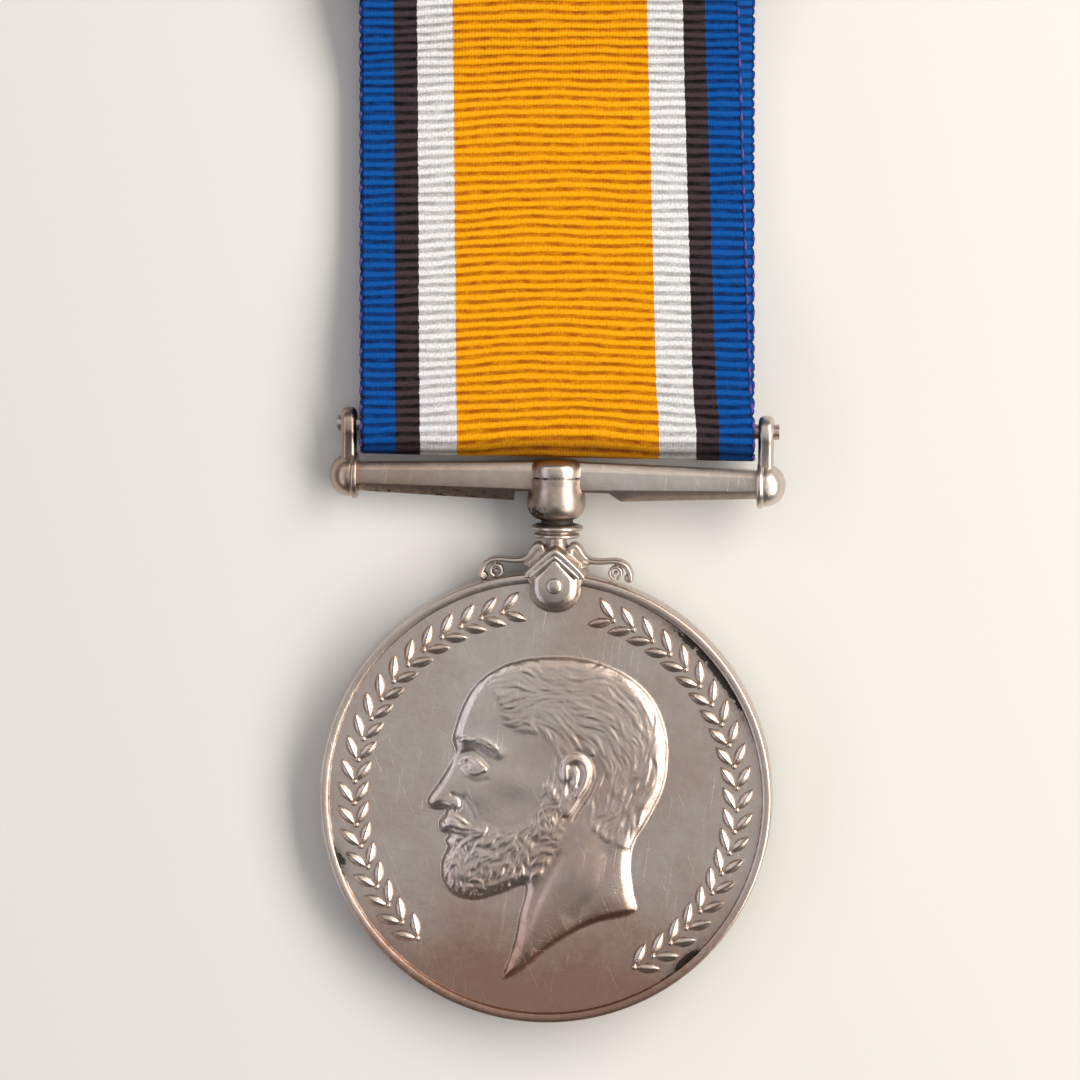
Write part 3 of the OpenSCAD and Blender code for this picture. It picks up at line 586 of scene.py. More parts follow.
def depth_in(points, steps=6):
    """How far each point of the map lies inside an outline, or outside it, below zero."""
    loop = on_disc(flowing(points, steps, True))
    hit = np.zeros(X.shape, bool)
    for (ax, ay), (bx, by) in zip(loop[:-1], loop[1:]):
        if ay != by:
            hit ^= ((ay > Y) != (by > Y)) & (X < (bx - ax) * (Y - ay) / (by - ay) + ax)
    return np.where(hit, 1, -1) * far_from(loop)


def area_of(points, soft):
    """1 inside an outline and 0 outside, with a soft edge in mm."""
    return smooth(0.5 + depth_in(points) / (2 * soft))


def fold(points, half, height):
    """A rounded ridge or groove along a line."""
    return height * np.exp(-((far_from(on_disc(flowing(points, 6))) / half) ** 2))


def swelling(across, up, half_w, half_h, slant, height):
    """A soft mound or hollow."""
    cx, cy = on_disc((across, up))
    a = math.radians(slant)
    u = ((X - cx) * math.cos(a) + (Y - cy) * math.sin(a)) / (half_w * HEAD_W)
    v = ((Y - cy) * math.cos(a) - (X - cx) * math.sin(a)) / (half_h * HEAD_H)
    return height * np.exp(-(u * u + v * v))


def softened(heights, size):
    """A map of heights, blurred over a size in mm."""
    pad = int(4 * size / MAP_STEP) + 2
    wide = np.pad(heights, pad, mode="reflect")
    fy, fx = np.fft.fftfreq(wide.shape[0])[:, None], np.fft.rfftfreq(wide.shape[1])[None, :]
    keep = np.exp(-2 * (math.pi * size / MAP_STEP) ** 2 * (fx**2 + fy**2))
    return np.fft.irfft2(np.fft.rfft2(wide) * keep, s=wide.shape)[pad:-pad, pad:-pad]


def uneven(seed, size):
    """Seeded soft noise, with a spread of 1."""
    noise = softened(np.random.default_rng(seed).standard_normal(X.shape), size)
    return noise / noise.std()


print("map of", X.shape, "heights,", MAP_STEP, "mm apart")

# %% [markdown]
# ## Hair, cut strand by strand
# A die sinker cuts hair with a graver, lock after lock along its growth. Here noise is drawn out
# along a field of directions, as paint is by a brush: each point takes the mean of the noise on a
# short path that follows the field. Long paths give combed hair, and a field that wanders gives
# the curls of a beard.


# %% Strands
def growth(hints, reach=0.12):
    """Direction at each point of the map, blended from hints near it."""
    cos_sum, sin_sum = np.zeros_like(X), np.zeros_like(X)
    for across, up, degrees in hints:
        px, py = on_disc((across, up))
        weight = (((X - px) ** 2 + (Y - py) ** 2) / (reach * HEAD_H) ** 2 + 0.05) ** -1.5
        cos_sum += weight * math.cos(math.radians(degrees))
        sin_sum += weight * math.sin(math.radians(degrees))
    return np.arctan2(sin_sum, cos_sum)


def strands(direction, length, seed, fine):
    """Noise drawn out along a direction field: locks of a length and a fineness in mm."""
    noise = uneven(seed, fine)
    rows, cols = noise.shape
    start_y, start_x = np.mgrid[0:rows, 0:cols].astype(float)
    total, weight = noise.copy(), 1.0
    steps = int(length / MAP_STEP / 2)

    def cell(y, x):
        return np.clip(np.rint(y).astype(int), 0, rows - 1), np.clip(np.rint(x).astype(int), 0, cols - 1)

    for way in (1, -1):
        x, y = start_x.copy(), start_y.copy()
        for k in range(steps):
            at = cell(y, x)
            x += way * np.cos(direction[at])
            y += way * np.sin(direction[at])
            at = cell(y, x)
            share = math.cos(0.5 * math.pi * (k + 1) / (steps + 1)) ** 2
            total += share * noise[at]
            weight += share
    total /= weight
    return total / total.std()


# %% [markdown]
# The layers then come together. The edge rises a tenth of a millimetre steeply, which draws the
# outline, and then rolls over for nearly a millimetre, so that it catches a soft band of light.

# %% Build the head's heights
inside = depth_in(HEAD_OUTLINE, 8)
edge = smooth((inside + 0.06) / 0.34)
swell = softened(1 - np.exp(-np.maximum(inside, 0) / 2.4), 0.45)
relief = edge * (0.08 + 0.20 * smooth(inside / 0.9) + 0.46 * swell)
for form in FORMS.values():
    relief += edge * swelling(*form)
ear = area_of(EAR, 0.12)
relief += 0.19 * ear
for line in LINES.values():
    relief += edge * fold(*line)
for form in EAR_FORMS.values():
    relief += swelling(*form)

lip = fold(LIP, 0.17, 1.0)
moustache = area_of(MOUSTACHE, 0.12)
hair = area_of(HAIR, 0.28) * (1 - ear)
beard = area_of(BEARD, 0.34) * (1 - ear) * (1 - moustache) * (1 - 0.8 * lip)
hair_way = growth(HAIR_FLOW) + 0.24 * uneven(5, 0.55)
beard_way = growth(BEARD_FLOW) + 0.62 * uneven(6, 0.36)
lip_way = growth(MOUSTACHE_FLOW) + 0.12 * uneven(7, 0.40)
# Each kind of hair: where it grows, its thickness, its direction, and its locks. Columns of the locks:
# height, length, seed, fineness.
brow_way = growth(EYEBROW_FLOW)
for area, thick, way, locks in (
    (hair, 0.055, hair_way, ((0.014, 1.9, 11, 0.10), (0.012, 1.3, 12, 0.055))),
    (beard, 0.080, beard_way, ((0.028, 1.0, 21, 0.10), (0.017, 0.9, 22, 0.055))),
    (moustache, 0.150, lip_way, ((0.045, 1.4, 31, 0.085),)),
    (area_of(EYEBROW, 0.10), 0.035, brow_way, ((0.030, 0.8, 41, 0.07),)),
):
    for high, length, seed, fine in locks:
        thick = thick + high * strands(way, length, seed, fine)
    relief += edge * area * thick
relief += edge * 0.085 * lip

cut = far_from(on_disc(flowing(NECK_CUT, 8)))
relief += edge * (0.06 * np.exp(-(((cut - 0.45) / 0.22) ** 2)) - 0.10 * np.exp(-((cut / 0.25) ** 2)))
relief *= smooth((inside + 0.10) / 0.22)
hollows = np.clip((softened(relief, 0.35) - relief - 0.012) / 0.07, 0, 1) * edge
print("relief stands up to", round(float(relief.max()), 2), "mm over the field")

# %% [markdown]
# ## The disc
# The disc is one piece of metal, so it is one closed mesh. A square grid of points is bent to a
# round one, with its lines close together over the head and wider apart beyond. The grid's outer
# loop is then carried on over the rim, down the edge and across the back.


# %% Disc
FIELD_Z = 1.05
RIM_IN = DISC_R - 0.80
RIM_TOP_IN = DISC_R - 0.66
FINE_STEP = 0.0054
FINE_ACROSS = 0.60
FINE_UP = (-0.90, 0.70)
CROWDING = 0.7


def grid_lines(low, high, coarse_low, coarse_high):
    """Places from -1 to 1: fine between low and high, wider outside, closer again at the ends."""
    fine = np.linspace(low, high, int(round((high - low) / FINE_STEP)) + 1)
    before = low + (-1 - low) * (np.linspace(1, 0, coarse_low, endpoint=False) ** CROWDING)
    after = high + (1 - high) * (np.linspace(0, 1, coarse_high + 1)[1:] ** CROWDING)
    return np.concatenate([before, fine, after])


def sampled(heights, x, y):
    """Heights of the map at any points, straight between its own."""
    u = np.clip((x - map_x[0]) / MAP_STEP, 0, len(map_x) - 1.001)
    v = np.clip((y - map_y[0]) / MAP_STEP, 0, len(map_y) - 1.001)
    i, j = u.astype(int), v.astype(int)
    a, b = u - i, v - j
    low = heights[j, i] * (1 - a) + heights[j, i + 1] * a
    high = heights[j + 1, i] * (1 - a) + heights[j + 1, i + 1] * a
    return low * (1 - b) + high * b


across = grid_lines(-FINE_ACROSS, FINE_ACROSS, 14, 14)
up = grid_lines(*FINE_UP, 6, 12)
gu, gv = np.meshgrid(across, up)
disc_x = RIM_IN * gu * np.sqrt(1 - gv**2 / 2)
disc_y = RIM_IN * gv * np.sqrt(1 - gu**2 / 2)
field = np.stack([disc_x, disc_y, FIELD_Z + sampled(relief, disc_x, disc_y)], -1)
rows, cols = gu.shape
numbers = np.arange(rows * cols).reshape(rows, cols)
sides = numbers[0], numbers[1:, -1], numbers[-1, -2::-1], numbers[-2:0:-1, 0]
loop = np.concatenate(sides).tolist()
top_z = DISC_T / 2
round_r, round_z = DISC_R - RIM_ROUND, top_z - RIM_ROUND
corner = [math.radians(a) for a in (90, 60, 30, 0)]
rim_outer = [(round_r + RIM_ROUND * math.cos(a), round_z + RIM_ROUND * math.sin(a)) for a in corner]
rim_profile = [(RIM_IN + 0.02, FIELD_Z), (RIM_IN + 0.06, FIELD_Z + 0.08), (RIM_TOP_IN - 0.03, top_z - 0.06)]
rim_profile += [(RIM_TOP_IN + 0.03, top_z), *rim_outer, *[(r, -z) for r, z in rim_outer[::-1]]]
rim_profile += [(RIM_TOP_IN, -top_z), (RIM_IN, -FIELD_Z)]
unit = field.reshape(-1, 3)[loop, :2] / RIM_IN
rim_points = repeated(unit, rim_profile)
faces = grid_faces(rows, cols)
count, n = rows * cols, len(loop)
faces += [[count + i, count + (i + 1) % n, loop[(i + 1) % n], loop[i]] for i in range(n)]
faces += [f[::-1] for f in grid_faces(len(rim_profile), n, wrap_cols=True, start=count)]
back = count + len(rim_points)
last = back - n
faces += [[back, last + i, last + (i + 1) % n] for i in range(n)]
points = np.concatenate([field.reshape(-1, 3), rim_points, [(0, 0, -FIELD_Z)]])
medal = make_piece("struck_disc", points, faces, face)
coat(medal, struck_silver)
print("disc of", len(points), "points, with", n, "round its rim")

# %% [markdown]
# Dirt stays at the foot of the rim, mostly in three places, and in the folds of the head. The rim is
# painted darker towards the bottom, as painted shade. The low side and the metal round the neck's cut
# have toned most. Both are stored on the mesh's points.

# %% Dirt and toning of the disc
flat_r = np.hypot(points[:, 0], points[:, 1])
flat_a = np.degrees(np.arctan2(points[:, 1], points[:, 0]))
wall_top = smooth((RIM_TOP_IN + 0.03 - flat_r) / 0.1)
near_rim = smooth((flat_r - RIM_IN + 0.85) / 0.7) * wall_top
rim_foot = smooth((flat_r - RIM_IN - 0.005) / 0.01) * wall_top * (points[:, 2] > 0)
# Where dirt is thick along the rim. Columns: direction and half width in degrees, strength.
places = ((42, 17, 1.0), (-46, 6, 0.8), (-160, 4, 0.7))
rim_dirt = sum(much * np.exp(-(((flat_a - a) / half) ** 2)) for a, half, much in places)
in_head = np.zeros(len(points))
in_head[:count] = sampled(hollows, disc_x, disc_y).ravel() * 0.60
# The rim is painted darker towards the bottom, as painted shade
painted_shade_low_rim = 0.5 * smooth((flat_r - RIM_TOP_IN) / 0.05) * smooth((-points[:, 1] - 9) / 8)
paint(medal, "hollow", in_head + 0.6 * rim_foot + near_rim * 1.5 * rim_dirt + painted_shade_low_rim)
low_side = smooth((-points[:, 1] - 4) / 14) * 0.85
neck_edge = np.zeros(len(points))
neck_edge[:count] = sampled(edge * np.exp(-((cut / 0.45) ** 2)), disc_x, disc_y).ravel() * 0.7
paint(medal, "toning", 0.08 + low_side + neck_edge)
outward(medal)
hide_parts("medal_disc")
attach(medal, "root")

# %% [markdown]
# ## The laurel border
# A border of laurel fills the ring between the head and the rim. Each leaf is a small domed blade
# with a raised midrib. Geometry Nodes set the pairs along an arc of the ring, so their spacing is a
# number and not a row of hand-placed copies.

# %% A leaf and a berry
LEAF_LEN = 2.1
LEAF_W = 0.85
LEAF_H = 0.30
LEAF_ANGLE = 33
LEAF_PITCH = 1.75
LEAF_ROOT = 0.12
SUNK = -0.08
LAUREL_R = 15.25


def leaf_piece():
    """One laurel leaf that points along +Y from its stalk, sunk a little into the field."""
    along = np.linspace(0, 1, 11)
    side = np.linspace(-1, 1, 9)
    half = LEAF_W / 2 * np.sin(math.pi * along) ** 0.8
    s, t = np.meshgrid(side, along)
    dome = (1 - s**2) ** 0.6 * np.sin(math.pi * t) ** 0.5
    rib = 0.10 * np.exp(-((s / 0.16) ** 2)) * np.sin(math.pi * t) ** 0.5
    veins = 0.035 * np.cos(2 * math.pi * (t * 5 - np.abs(s) * 0.9)) * (1 - s**2) * np.sin(math.pi * t)
    wide, y = s * half[:, None], t * LEAF_LEN + LEAF_ROOT
    top = np.stack([wide, y, LEAF_H * 0.8 * dome + rib * 0.8 + veins], -1)
    foot = np.stack([wide * 1.06, y, np.full(s.shape, SUNK)], -1)
    n = s.size
    r, c = s.shape
    faces = grid_faces(r, c) + [f[::-1] for f in grid_faces(r, c, start=n)]
    for i in range(r - 1):
        faces.append([i * c, (i + 1) * c, n + (i + 1) * c, n + i * c])
        faces.append([i * c + c - 1, n + i * c + c - 1, n + (i + 1) * c + c - 1, (i + 1) * c + c - 1])
    made = make_piece("leaf", np.concatenate([top.reshape(-1, 3), foot.reshape(-1, 3)]), faces)
    coat(made, sharp=60)
    return outward(made, 1e-5)


def berry_piece():
    """One laurel berry: a low dome."""
    profile = [(0.26, SUNK), (0.26, 0.04), (0.22, 0.15), (0.14, 0.23), (0.05, 0.27)]
    made = make_piece("berry", *turned(profile, sides=12))
    coat(made, sharp=60)
    return outward(made)


leaf, berry = leaf_piece(), berry_piece()

# %% [markdown]
# The tree draws an arc, divides it into equal steps, turns an instance to the arc's direction at
# each step, and swings it outwards or inwards by the leaf's angle.


# %% Geometry Nodes for the laurel
def new_tree(name, sizes):
    """A Geometry Nodes tree with named number inputs, its input node and its output node."""
    tree = bpy.data.node_groups.new(name, "GeometryNodeTree")
    tree.interface.new_socket("Geometry", in_out="INPUT", socket_type="NodeSocketGeometry")
    for label, kind in sizes.items():
        tree.interface.new_socket(label, in_out="INPUT", socket_type=kind)
    tree.interface.new_socket("Geometry", in_out="OUTPUT", socket_type="NodeSocketGeometry")
    return tree, add_node(tree, "NodeGroupInput"), add_node(tree, "NodeGroupOutput")


def finish_tree(tree, out, geometry, material):
    """Ends a tree: instances become real and take their material."""
    real = add_node(tree, "GeometryNodeRealizeInstances", {"Geometry": geometry})
    dressed = add_node(tree, "GeometryNodeSetMaterial", {"Geometry": real, "Material": material})
    tree.links.new(dressed.outputs[0], out.inputs[0])


def grow(name, tree, values, base=None):
    """Runs a tree on a mesh with its inputs set by identifier, and returns a plain mesh object."""
    carrier = new_object(name, base or bpy.data.meshes.new(name))
    modifier = carrier.modifiers.new("grown", "NODES")
    modifier.node_group = tree
    for item in tree.interface.items_tree:
        if item.in_out == "INPUT" and item.name in values:
            modifier[item.identifier] = values[item.name]
    grown = carrier.evaluated_get(bpy.context.evaluated_depsgraph_get())
    mesh = bpy.data.meshes.new_from_object(grown)
    bpy.data.objects.remove(carrier)
    return new_object(name, mesh)


def laurel_tree():
    """Leaves and berries in pairs along one arc of the border."""
    sizes = dict.fromkeys(("Radius", "Start", "Sweep", "Angle"), "NodeSocketFloat")
    tree, given, out = new_tree("laurel_border", sizes | {"Count": "NodeSocketInt"})
    take = given.outputs
    bend = {"Radius": take["Radius"], "Start Angle": take["Start"], "Sweep Angle": take["Sweep"]}
    arc = add_node(tree, "GeometryNodeCurveArc", {**bend, "Resolution": 96})
    steps = add_node(tree, "GeometryNodeResampleCurve", {"Curve": arc, "Count": take["Count"]})
    way = add_node(tree, "GeometryNodeInputTangent")
    facing = add_node(tree, "FunctionNodeAlignEulerToVector", {"Vector": way}, axis="Y", pivot_axis="Z")
    whole = add_node(tree, "GeometryNodeJoinGeometry")
    for model, turn, shift in ((leaf, 1.0, 0), (leaf, -1.0, 0), (berry, 0.0, 0.1)):
        source = add_node(tree, "GeometryNodeObjectInfo", {"Object": model}).outputs["Geometry"]
        set_out = {"Points": steps, "Instance": source, "Rotation": facing}
        copies = add_node(tree, "GeometryNodeInstanceOnPoints", set_out)
        swing = add_node(tree, "ShaderNodeMath", {0: take["Angle"], 1: turn}, operation="MULTIPLY")
        turns = add_node(tree, "ShaderNodeCombineXYZ", {"Z": swing})
        swung = add_node(tree, "GeometryNodeRotateInstances", {"Instances": copies, "Rotation": turns})
        inwards = {"Instances": swung, "Translation": (0, shift, 0)}
        moved = add_node(tree, "GeometryNodeTranslateInstances", inwards)
        tree.links.new(moved.outputs[0], whole.inputs[0])
    finish_tree(tree, out, whole, struck_silver)
    return tree


LAUREL_ENDS = (141, 150)
LOBE_R = 2.02
laurel_nodes = laurel_tree()
step = math.degrees(LEAF_PITCH / LAUREL_R)
nearest = math.degrees((LOBE_R + LEAF_LEN) / LAUREL_R)
sprays = []
for side, end in zip((1, -1), LAUREL_ENDS):
    pairs = int((end - nearest) // step) + 1
    start = math.radians(90 + side * end)
    sweep = -side * math.radians(step * (pairs - 1))
    values = {"Radius": LAUREL_R, "Start": start, "Sweep": sweep, "Count": pairs}
    values["Angle"] = math.radians(LEAF_ANGLE)
    sprays.append(grow("laurel_spray", laurel_nodes, values))
    print("spray of", pairs, "pairs,", len(sprays[-1].data.polygons), "faces")

# %% [markdown]
# The two sprays are joined into one border and laid on the field. The sprays were grown flat, so
# the disc's matrix puts them in place.


# %% Laurel on the disc
def joined(name, pieces):
    """Several mesh objects as one."""
    work = bmesh.new()
    for piece in pieces:
        work.from_mesh(piece.data)
    mesh = bpy.data.meshes.new(name)
    work.to_mesh(mesh)
    work.free()
    for piece in pieces:
        bpy.data.objects.remove(piece)
    return new_object(name, mesh)


laurel = joined("laurel_border", sprays)
for model in (leaf, berry):
    bpy.data.objects.remove(model)
leaf_z = read(laurel.data.vertices, "co")[:, 2]
laurel.data.transform(face @ Matrix.Translation((0, 0, FIELD_Z)))
coat(laurel, struck_silver)
paint(laurel, "hollow", 0.7 * smooth((0.08 - leaf_z) / 0.08))
paint(laurel, "toning", 0.15)
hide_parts("medal_disc")
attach(laurel, "root")
print("laurel of", len(laurel.data.polygons), "faces")

# %% [markdown]
# ## Cast and soldered metal
# The claw and the suspender were cast, filed and soldered. They are built from simple closed
# shells: turned ones, swept ones and blocks with filed edges. Each shell is a list of points and
# faces in the metal's flat millimetres, so that shells can be collected and made one piece.


# %% Shells: turned, swept and filed
def swept(path, widths, depth, corner=1.0, sides=20):
    """A band along a path in the face's plane. Its edges are rounded over a share of half its width."""
    path = np.asarray(path, float)
    half = np.asarray(widths, float) / 2
    way = np.gradient(path, axis=0)
    way /= np.linalg.norm(way, axis=1)[:, None]
    side = np.stack([-way[:, 1], way[:, 0]], -1)
    a = np.linspace(0, 2 * math.pi, sides, endpoint=False) + math.pi / sides
    c, s = np.cos(a), np.sin(a)

    def ring(middle, normal, wide, deep, edge):
        u = np.sign(c) * (wide - edge) + c * edge
        w = np.sign(s) * (deep - edge) + s * edge
        return np.c_[middle + np.outer(u, normal), w]

    rounded = np.minimum(half * corner, depth / 2)
    rings = [ring(*step, depth / 2, edge) for *step, edge in zip(path, side, half, rounded)]
    for i, at, back in ((0, 0, -1), (-1, len(rings) + 1, 1)):
        tip = path[i] + back * way[i] * half[i] * 0.35
        rings.insert(at, ring(tip, side[i], half[i] * 0.5, depth / 2 - half[i] * 0.5, half[i] * 0.4))
    points = np.concatenate(rings)
    faces = grid_faces(len(rings), sides, wrap_cols=True)
    faces += [list(range(sides)), [len(points) - sides + k for k in range(sides)]]
    return points, faces


def filed(sections, width, segments=2, corner=20):
    """A block through closed sections, its edges rounded by a file."""
    n = len(sections[0])
    work = bmesh.new()
    verts = [work.verts.new(p) for section in sections for p in section]
    for f in grid_faces(len(sections), n, wrap_cols=True):
        work.faces.new([verts[k] for k in f])
    work.faces.new(verts[:n])
    work.faces.new(verts[-n:])
    bmesh.ops.recalc_face_normals(work, faces=work.faces)
    sharp = [e for e in work.edges if e.calc_face_angle(0) > math.radians(corner)]
    edges = {"geom": sharp, "offset": width, "segments": segments, "profile": 0.5}
    bmesh.ops.bevel(work, **edges, affect="EDGES", clamp_overlap=True)
    work.verts.index_update()
    points = np.array([v.co for v in work.verts])
    faces = [[v.index for v in f.verts] for f in work.faces]
    work.free()
    return points, faces


def together(shells):
    """Several shells as one list of points and faces."""
    points, faces, start = [], [], 0
    for p, f in shells:
        points.append(np.asarray(p))
        faces += [[k + start for k in face_of] for face_of in f]
        start += len(p)
    return np.concatenate(points), faces


def mirrored(shell):
    """A shell mirrored left to right."""
    points, faces = shell
    return np.asarray(points) * (-1, 1, 1), [f[::-1] for f in faces]


def evaluated(piece, *modifiers):
    """Applies modifiers, each a kind and its settings, and leaves a plain mesh."""
    for kind, settings in modifiers:
        step = piece.modifiers.new(kind.lower(), kind)
        for name, value in settings.items():
            setattr(step, name, value)
    mesh = bpy.data.meshes.new_from_object(piece.evaluated_get(bpy.context.evaluated_depsgraph_get()))
    piece.modifiers.clear()
    old, piece.data = piece.data, mesh
    mesh.name = old.name
    bpy.data.meshes.remove(old)
    return piece


def corners(piece):
    """Corners of a piece in the metal's flat frame, in mm."""
    return moved_by(to_metal, read(piece.data.vertices, "co"))


ALONG_Y = Matrix.Rotation(-math.pi / 2, 4, "X")
ALONG_X = Matrix.Rotation(math.pi / 2, 4, "Y")
print("shell helpers ready")

# %% [markdown]
# ## The claw
# Two round lobes hold the disc's rim, with a rivet through them. A bent moulding with a thin second
# ridge frames their top. Above it a neck widens into the moulding, between two small scrolled
# ears, which run out into arms along the rim and curl back on themselves. Two rings make the
# collar. The casting has no sharp edge, so the shells are wrapped in one even net and smoothed.

# %% Claw
CLAW_T = 5.2
CLAW_UP = 0.34
LOBE_ROUND = 1.15
LOBE_WIDE = 1.06
LOBE_PEAK = 2.75
LOBE_SIDE = 0.90
UPPER_SHARE = 0.30
LOBE_LOW = -0.22
RIM_FACE = 1.56
BRIDGE_Y = 1.35
# How many of a shape's own steps lie between two of its given points
PATH_STEPS = 5


def lobe_outline(count=72):
    """Outline of a lobe: round below, straight sides, a blunt point above."""
    low = CLAW_UP + LOBE_LOW
    wide = LOBE_WIDE * LOBE_R
    lower = [(wide * math.cos(a), LOBE_R * math.sin(a) + low) for a in np.linspace(-math.pi, 0, count // 2)]
    slant = [(wide * (1 - t), LOBE_SIDE + (LOBE_PEAK - LOBE_SIDE) * t) for t in (0, 0.33, 0.66, 1)]
    return np.array(lower + slant + [(-x, y) for x, y in slant[:-1][::-1]])


def lobe(side):
    """One lobe with a rounded outer edge, as rings that shrink towards its middle."""
    edge_line = lobe_outline()
    top = CLAW_T / 2
    steps = [(0.02, RIM_FACE), (1.0, RIM_FACE), (1.0, top - LOBE_ROUND)]
    for t in np.radians([15, 30, 45, 60, 75, 90]):
        steps.append((1 - LOBE_ROUND * (1 - math.cos(t)) / LOBE_R, top - LOBE_ROUND * (1 - math.sin(t))))
    steps += [(0.30, top + 0.03), (0.02, top + 0.04)]
    rings = []
    for s, z in steps:
        shrink = np.where(edge_line[:, 1] > CLAW_UP, 1 - (1 - s) * UPPER_SHARE, s) if s > 0.3 else s
        ring_y = CLAW_UP + (edge_line[:, 1] - CLAW_UP) * shrink
        rings.append(np.c_[edge_line[:, 0] * s, ring_y, np.full(len(edge_line), z * side)])
    n = len(edge_line)
    points = np.concatenate(rings)
    faces = grid_faces(len(rings), n, wrap_cols=True)
    return points, faces + [list(range(n)), [len(points) - n + k for k in range(n)]]


def block(outline, low, high, width, segments=2):
    """An outline of the face's plane, drawn out from low to high, with filed edges."""
    return filed([[(x, y, z) for x, y in outline] for z in (low, high)], width, segments)


def moulding(path, widths, high, corner=1.0):
    """A swept band whose widths are given at the same steps as its path."""
    line = flowing(np.array(path, float), PATH_STEPS)
    at = np.linspace(0, 1, len(line))
    return swept(line, np.interp(at, np.linspace(0, 1, len(widths)), widths), high, corner)


def both_ways(half):
    """A path given from the middle to the right, completed on the left."""
    return [(-x, y) for x, y in half[::-1]] + half


print("a lobe's outline has", len(lobe_outline()), "points")

# %% [markdown]
# The outlines below are in millimetres from the middle of the solid rivet: across and up for bands and
# blocks, radius and height for turned parts. The shells overlap, and the net that is wrapped round
# them melts them into one skin.

# %% The claw's shells in one skin
bridge_top = [(-2.0, BRIDGE_Y), (2.0, BRIDGE_Y), (1.6, 1.75), (0.9, 2.45), (0, 3.00), (-0.9, 2.45)]
bridge = block([*bridge_top, (-1.6, 1.75)], -2.35, 2.35, 0.12)
band_half = [(0.06, 3.02), (0.45, 2.78), (0.95, 2.34), (1.45, 1.90), (1.88, 1.50), (2.14, 1.22), (2.26, 1.02)]
ridge_half = [(0.05, 2.58), (0.45, 2.30), (0.95, 1.86), (1.45, 1.42), (1.90, 1.02)]
neck_line = [(2.2, 1.9), (1.80, 2.25), (1.40, 2.65), (1.08, 3.04), (0.88, 3.42), (0.78, 3.75)]
neck_line += [(0.78, 4.05), (0.9, 4.3)]
collar = [(0.6, 3.92), (1.60, 3.96), (1.82, 4.04), (1.87, 4.15), (1.82, 4.28), (1.4, 4.36), (1.4, 4.50)]
collar += [(1.88, 4.56), (2.06, 4.66), (2.09, 4.79), (2.02, 4.92), (1.75, 5.02), (1.3, 5.06)]
collar += [(1.25, 5.5), (0.8, 7.4)]
ear_path = [(1.16, 2.70), (1.12, 3.02), (1.26, 3.26), (1.50, 3.26), (1.76, 3.00), (2.02, 2.62)]
ear_path += [(2.38, 2.28), (2.9, 2.14), (3.6, 2.12), (4.5, 2.18), (5.1, 2.10), (5.60, 1.78)]
ear_path += [(5.86, 1.34), (5.96, 0.92), (5.94, 0.70)]
ear_widths = [0.30, 0.44, 0.62, 0.74, 0.74, 0.64, 0.54, 0.44, 0.38, 0.40, 0.44, 0.46, 0.44, 0.40, 0.34]
EYE_AT, EYE_R = (4.74, 1.26), 0.46
turn = np.radians(np.linspace(-70, 250, 30))
volute = np.stack([EYE_AT[0] + EYE_R * np.cos(turn), EYE_AT[1] + EYE_R * np.sin(turn)], -1)
arms = [moulding(ear_path, ear_widths, 1.7), swept(volute, np.linspace(0.30, 0.20, 30), 1.5)]
arms += [turned([(0.16, -0.5), (0.15, 0.42), (0.08, 0.5)], Matrix.Translation((*EYE_AT, 0)), 12)]
arm_end = [(0.30, -0.7), (0.38, -0.2), (0.38, 0.2), (0.30, 0.7)]
arms += [turned(arm_end, Matrix.Translation((5.80, 0.84, 0)), 20)]
arms += [block([(0.9, 1.6), (2.4, 1.6), (2.9, 2.1), (2.1, 2.5), (1.6, 3.0), (1.1, 2.9)], -0.75, 0.75, 0.2)]
claw_shells = [lobe(1), lobe(-1), bridge, turned(neck_line, ALONG_Y), turned(collar, ALONG_Y), *arms]
claw_shells += [mirrored(shell) for shell in arms]
claw_shells += [moulding(both_ways(band_half), [0.40, 0.52, 0.60, 0.52, 0.40], CLAW_T + 0.16, 0.9)]
claw_shells += [moulding(both_ways(ridge_half), [0.20, 0.24, 0.20], CLAW_T + 0.20)]
claw = make_piece("riveted_claw", *together(claw_shells))
net = ("REMESH", {"mode": "VOXEL", "voxel_size": 0.058, "use_smooth_shade": True})
evaluated(claw, net, ("SMOOTH", {"factor": 0.5, "iterations": 2}))
claw.data.transform(metal)
coat(claw, cast_silver)
print("claw of", len(claw.data.polygons), "faces")

# %% [markdown]
# Dirt settles where a cloth can't reach: in the line beside the ridge, between the rings and behind
# the ears. The lower flanks, the collar's top under the boss and the lobes' lower edges are darkened
# as painted shade. How deep a point lies below its surroundings is measured by smoothing the mesh in
# numbers and comparing, and stored for the silver to read.


# %% Find the hollows of a fine mesh
def hollow_of(piece, passes, scale):
    """Dirt for each point: how far the mesh moves outwards there when it is smoothed, in mm."""
    mesh = piece.data
    count = len(mesh.vertices)
    a, b = read(mesh.edges, "vertices", 2, int).T
    start = read(mesh.vertices, "co") / MM
    degree = np.maximum(np.bincount(a, minlength=count) + np.bincount(b, minlength=count), 1)
    moved = start.copy()
    for _ in range(passes):
        near = [np.bincount(a, row[b], count) + np.bincount(b, row[a], count) for row in moved.T]
        moved += 0.7 * (np.stack(near, -1) / degree[:, None] - moved)
    rise = ((moved - start) * read(mesh.vertex_normals, "vector")).sum(1)
    return np.clip(rise / scale, 0, 1)


def flank(piece, level, fall):
    """1 well below a level over the metal's middle plane, 0 above it."""
    return smooth((level - corners(piece)[:, 2]) / fall)


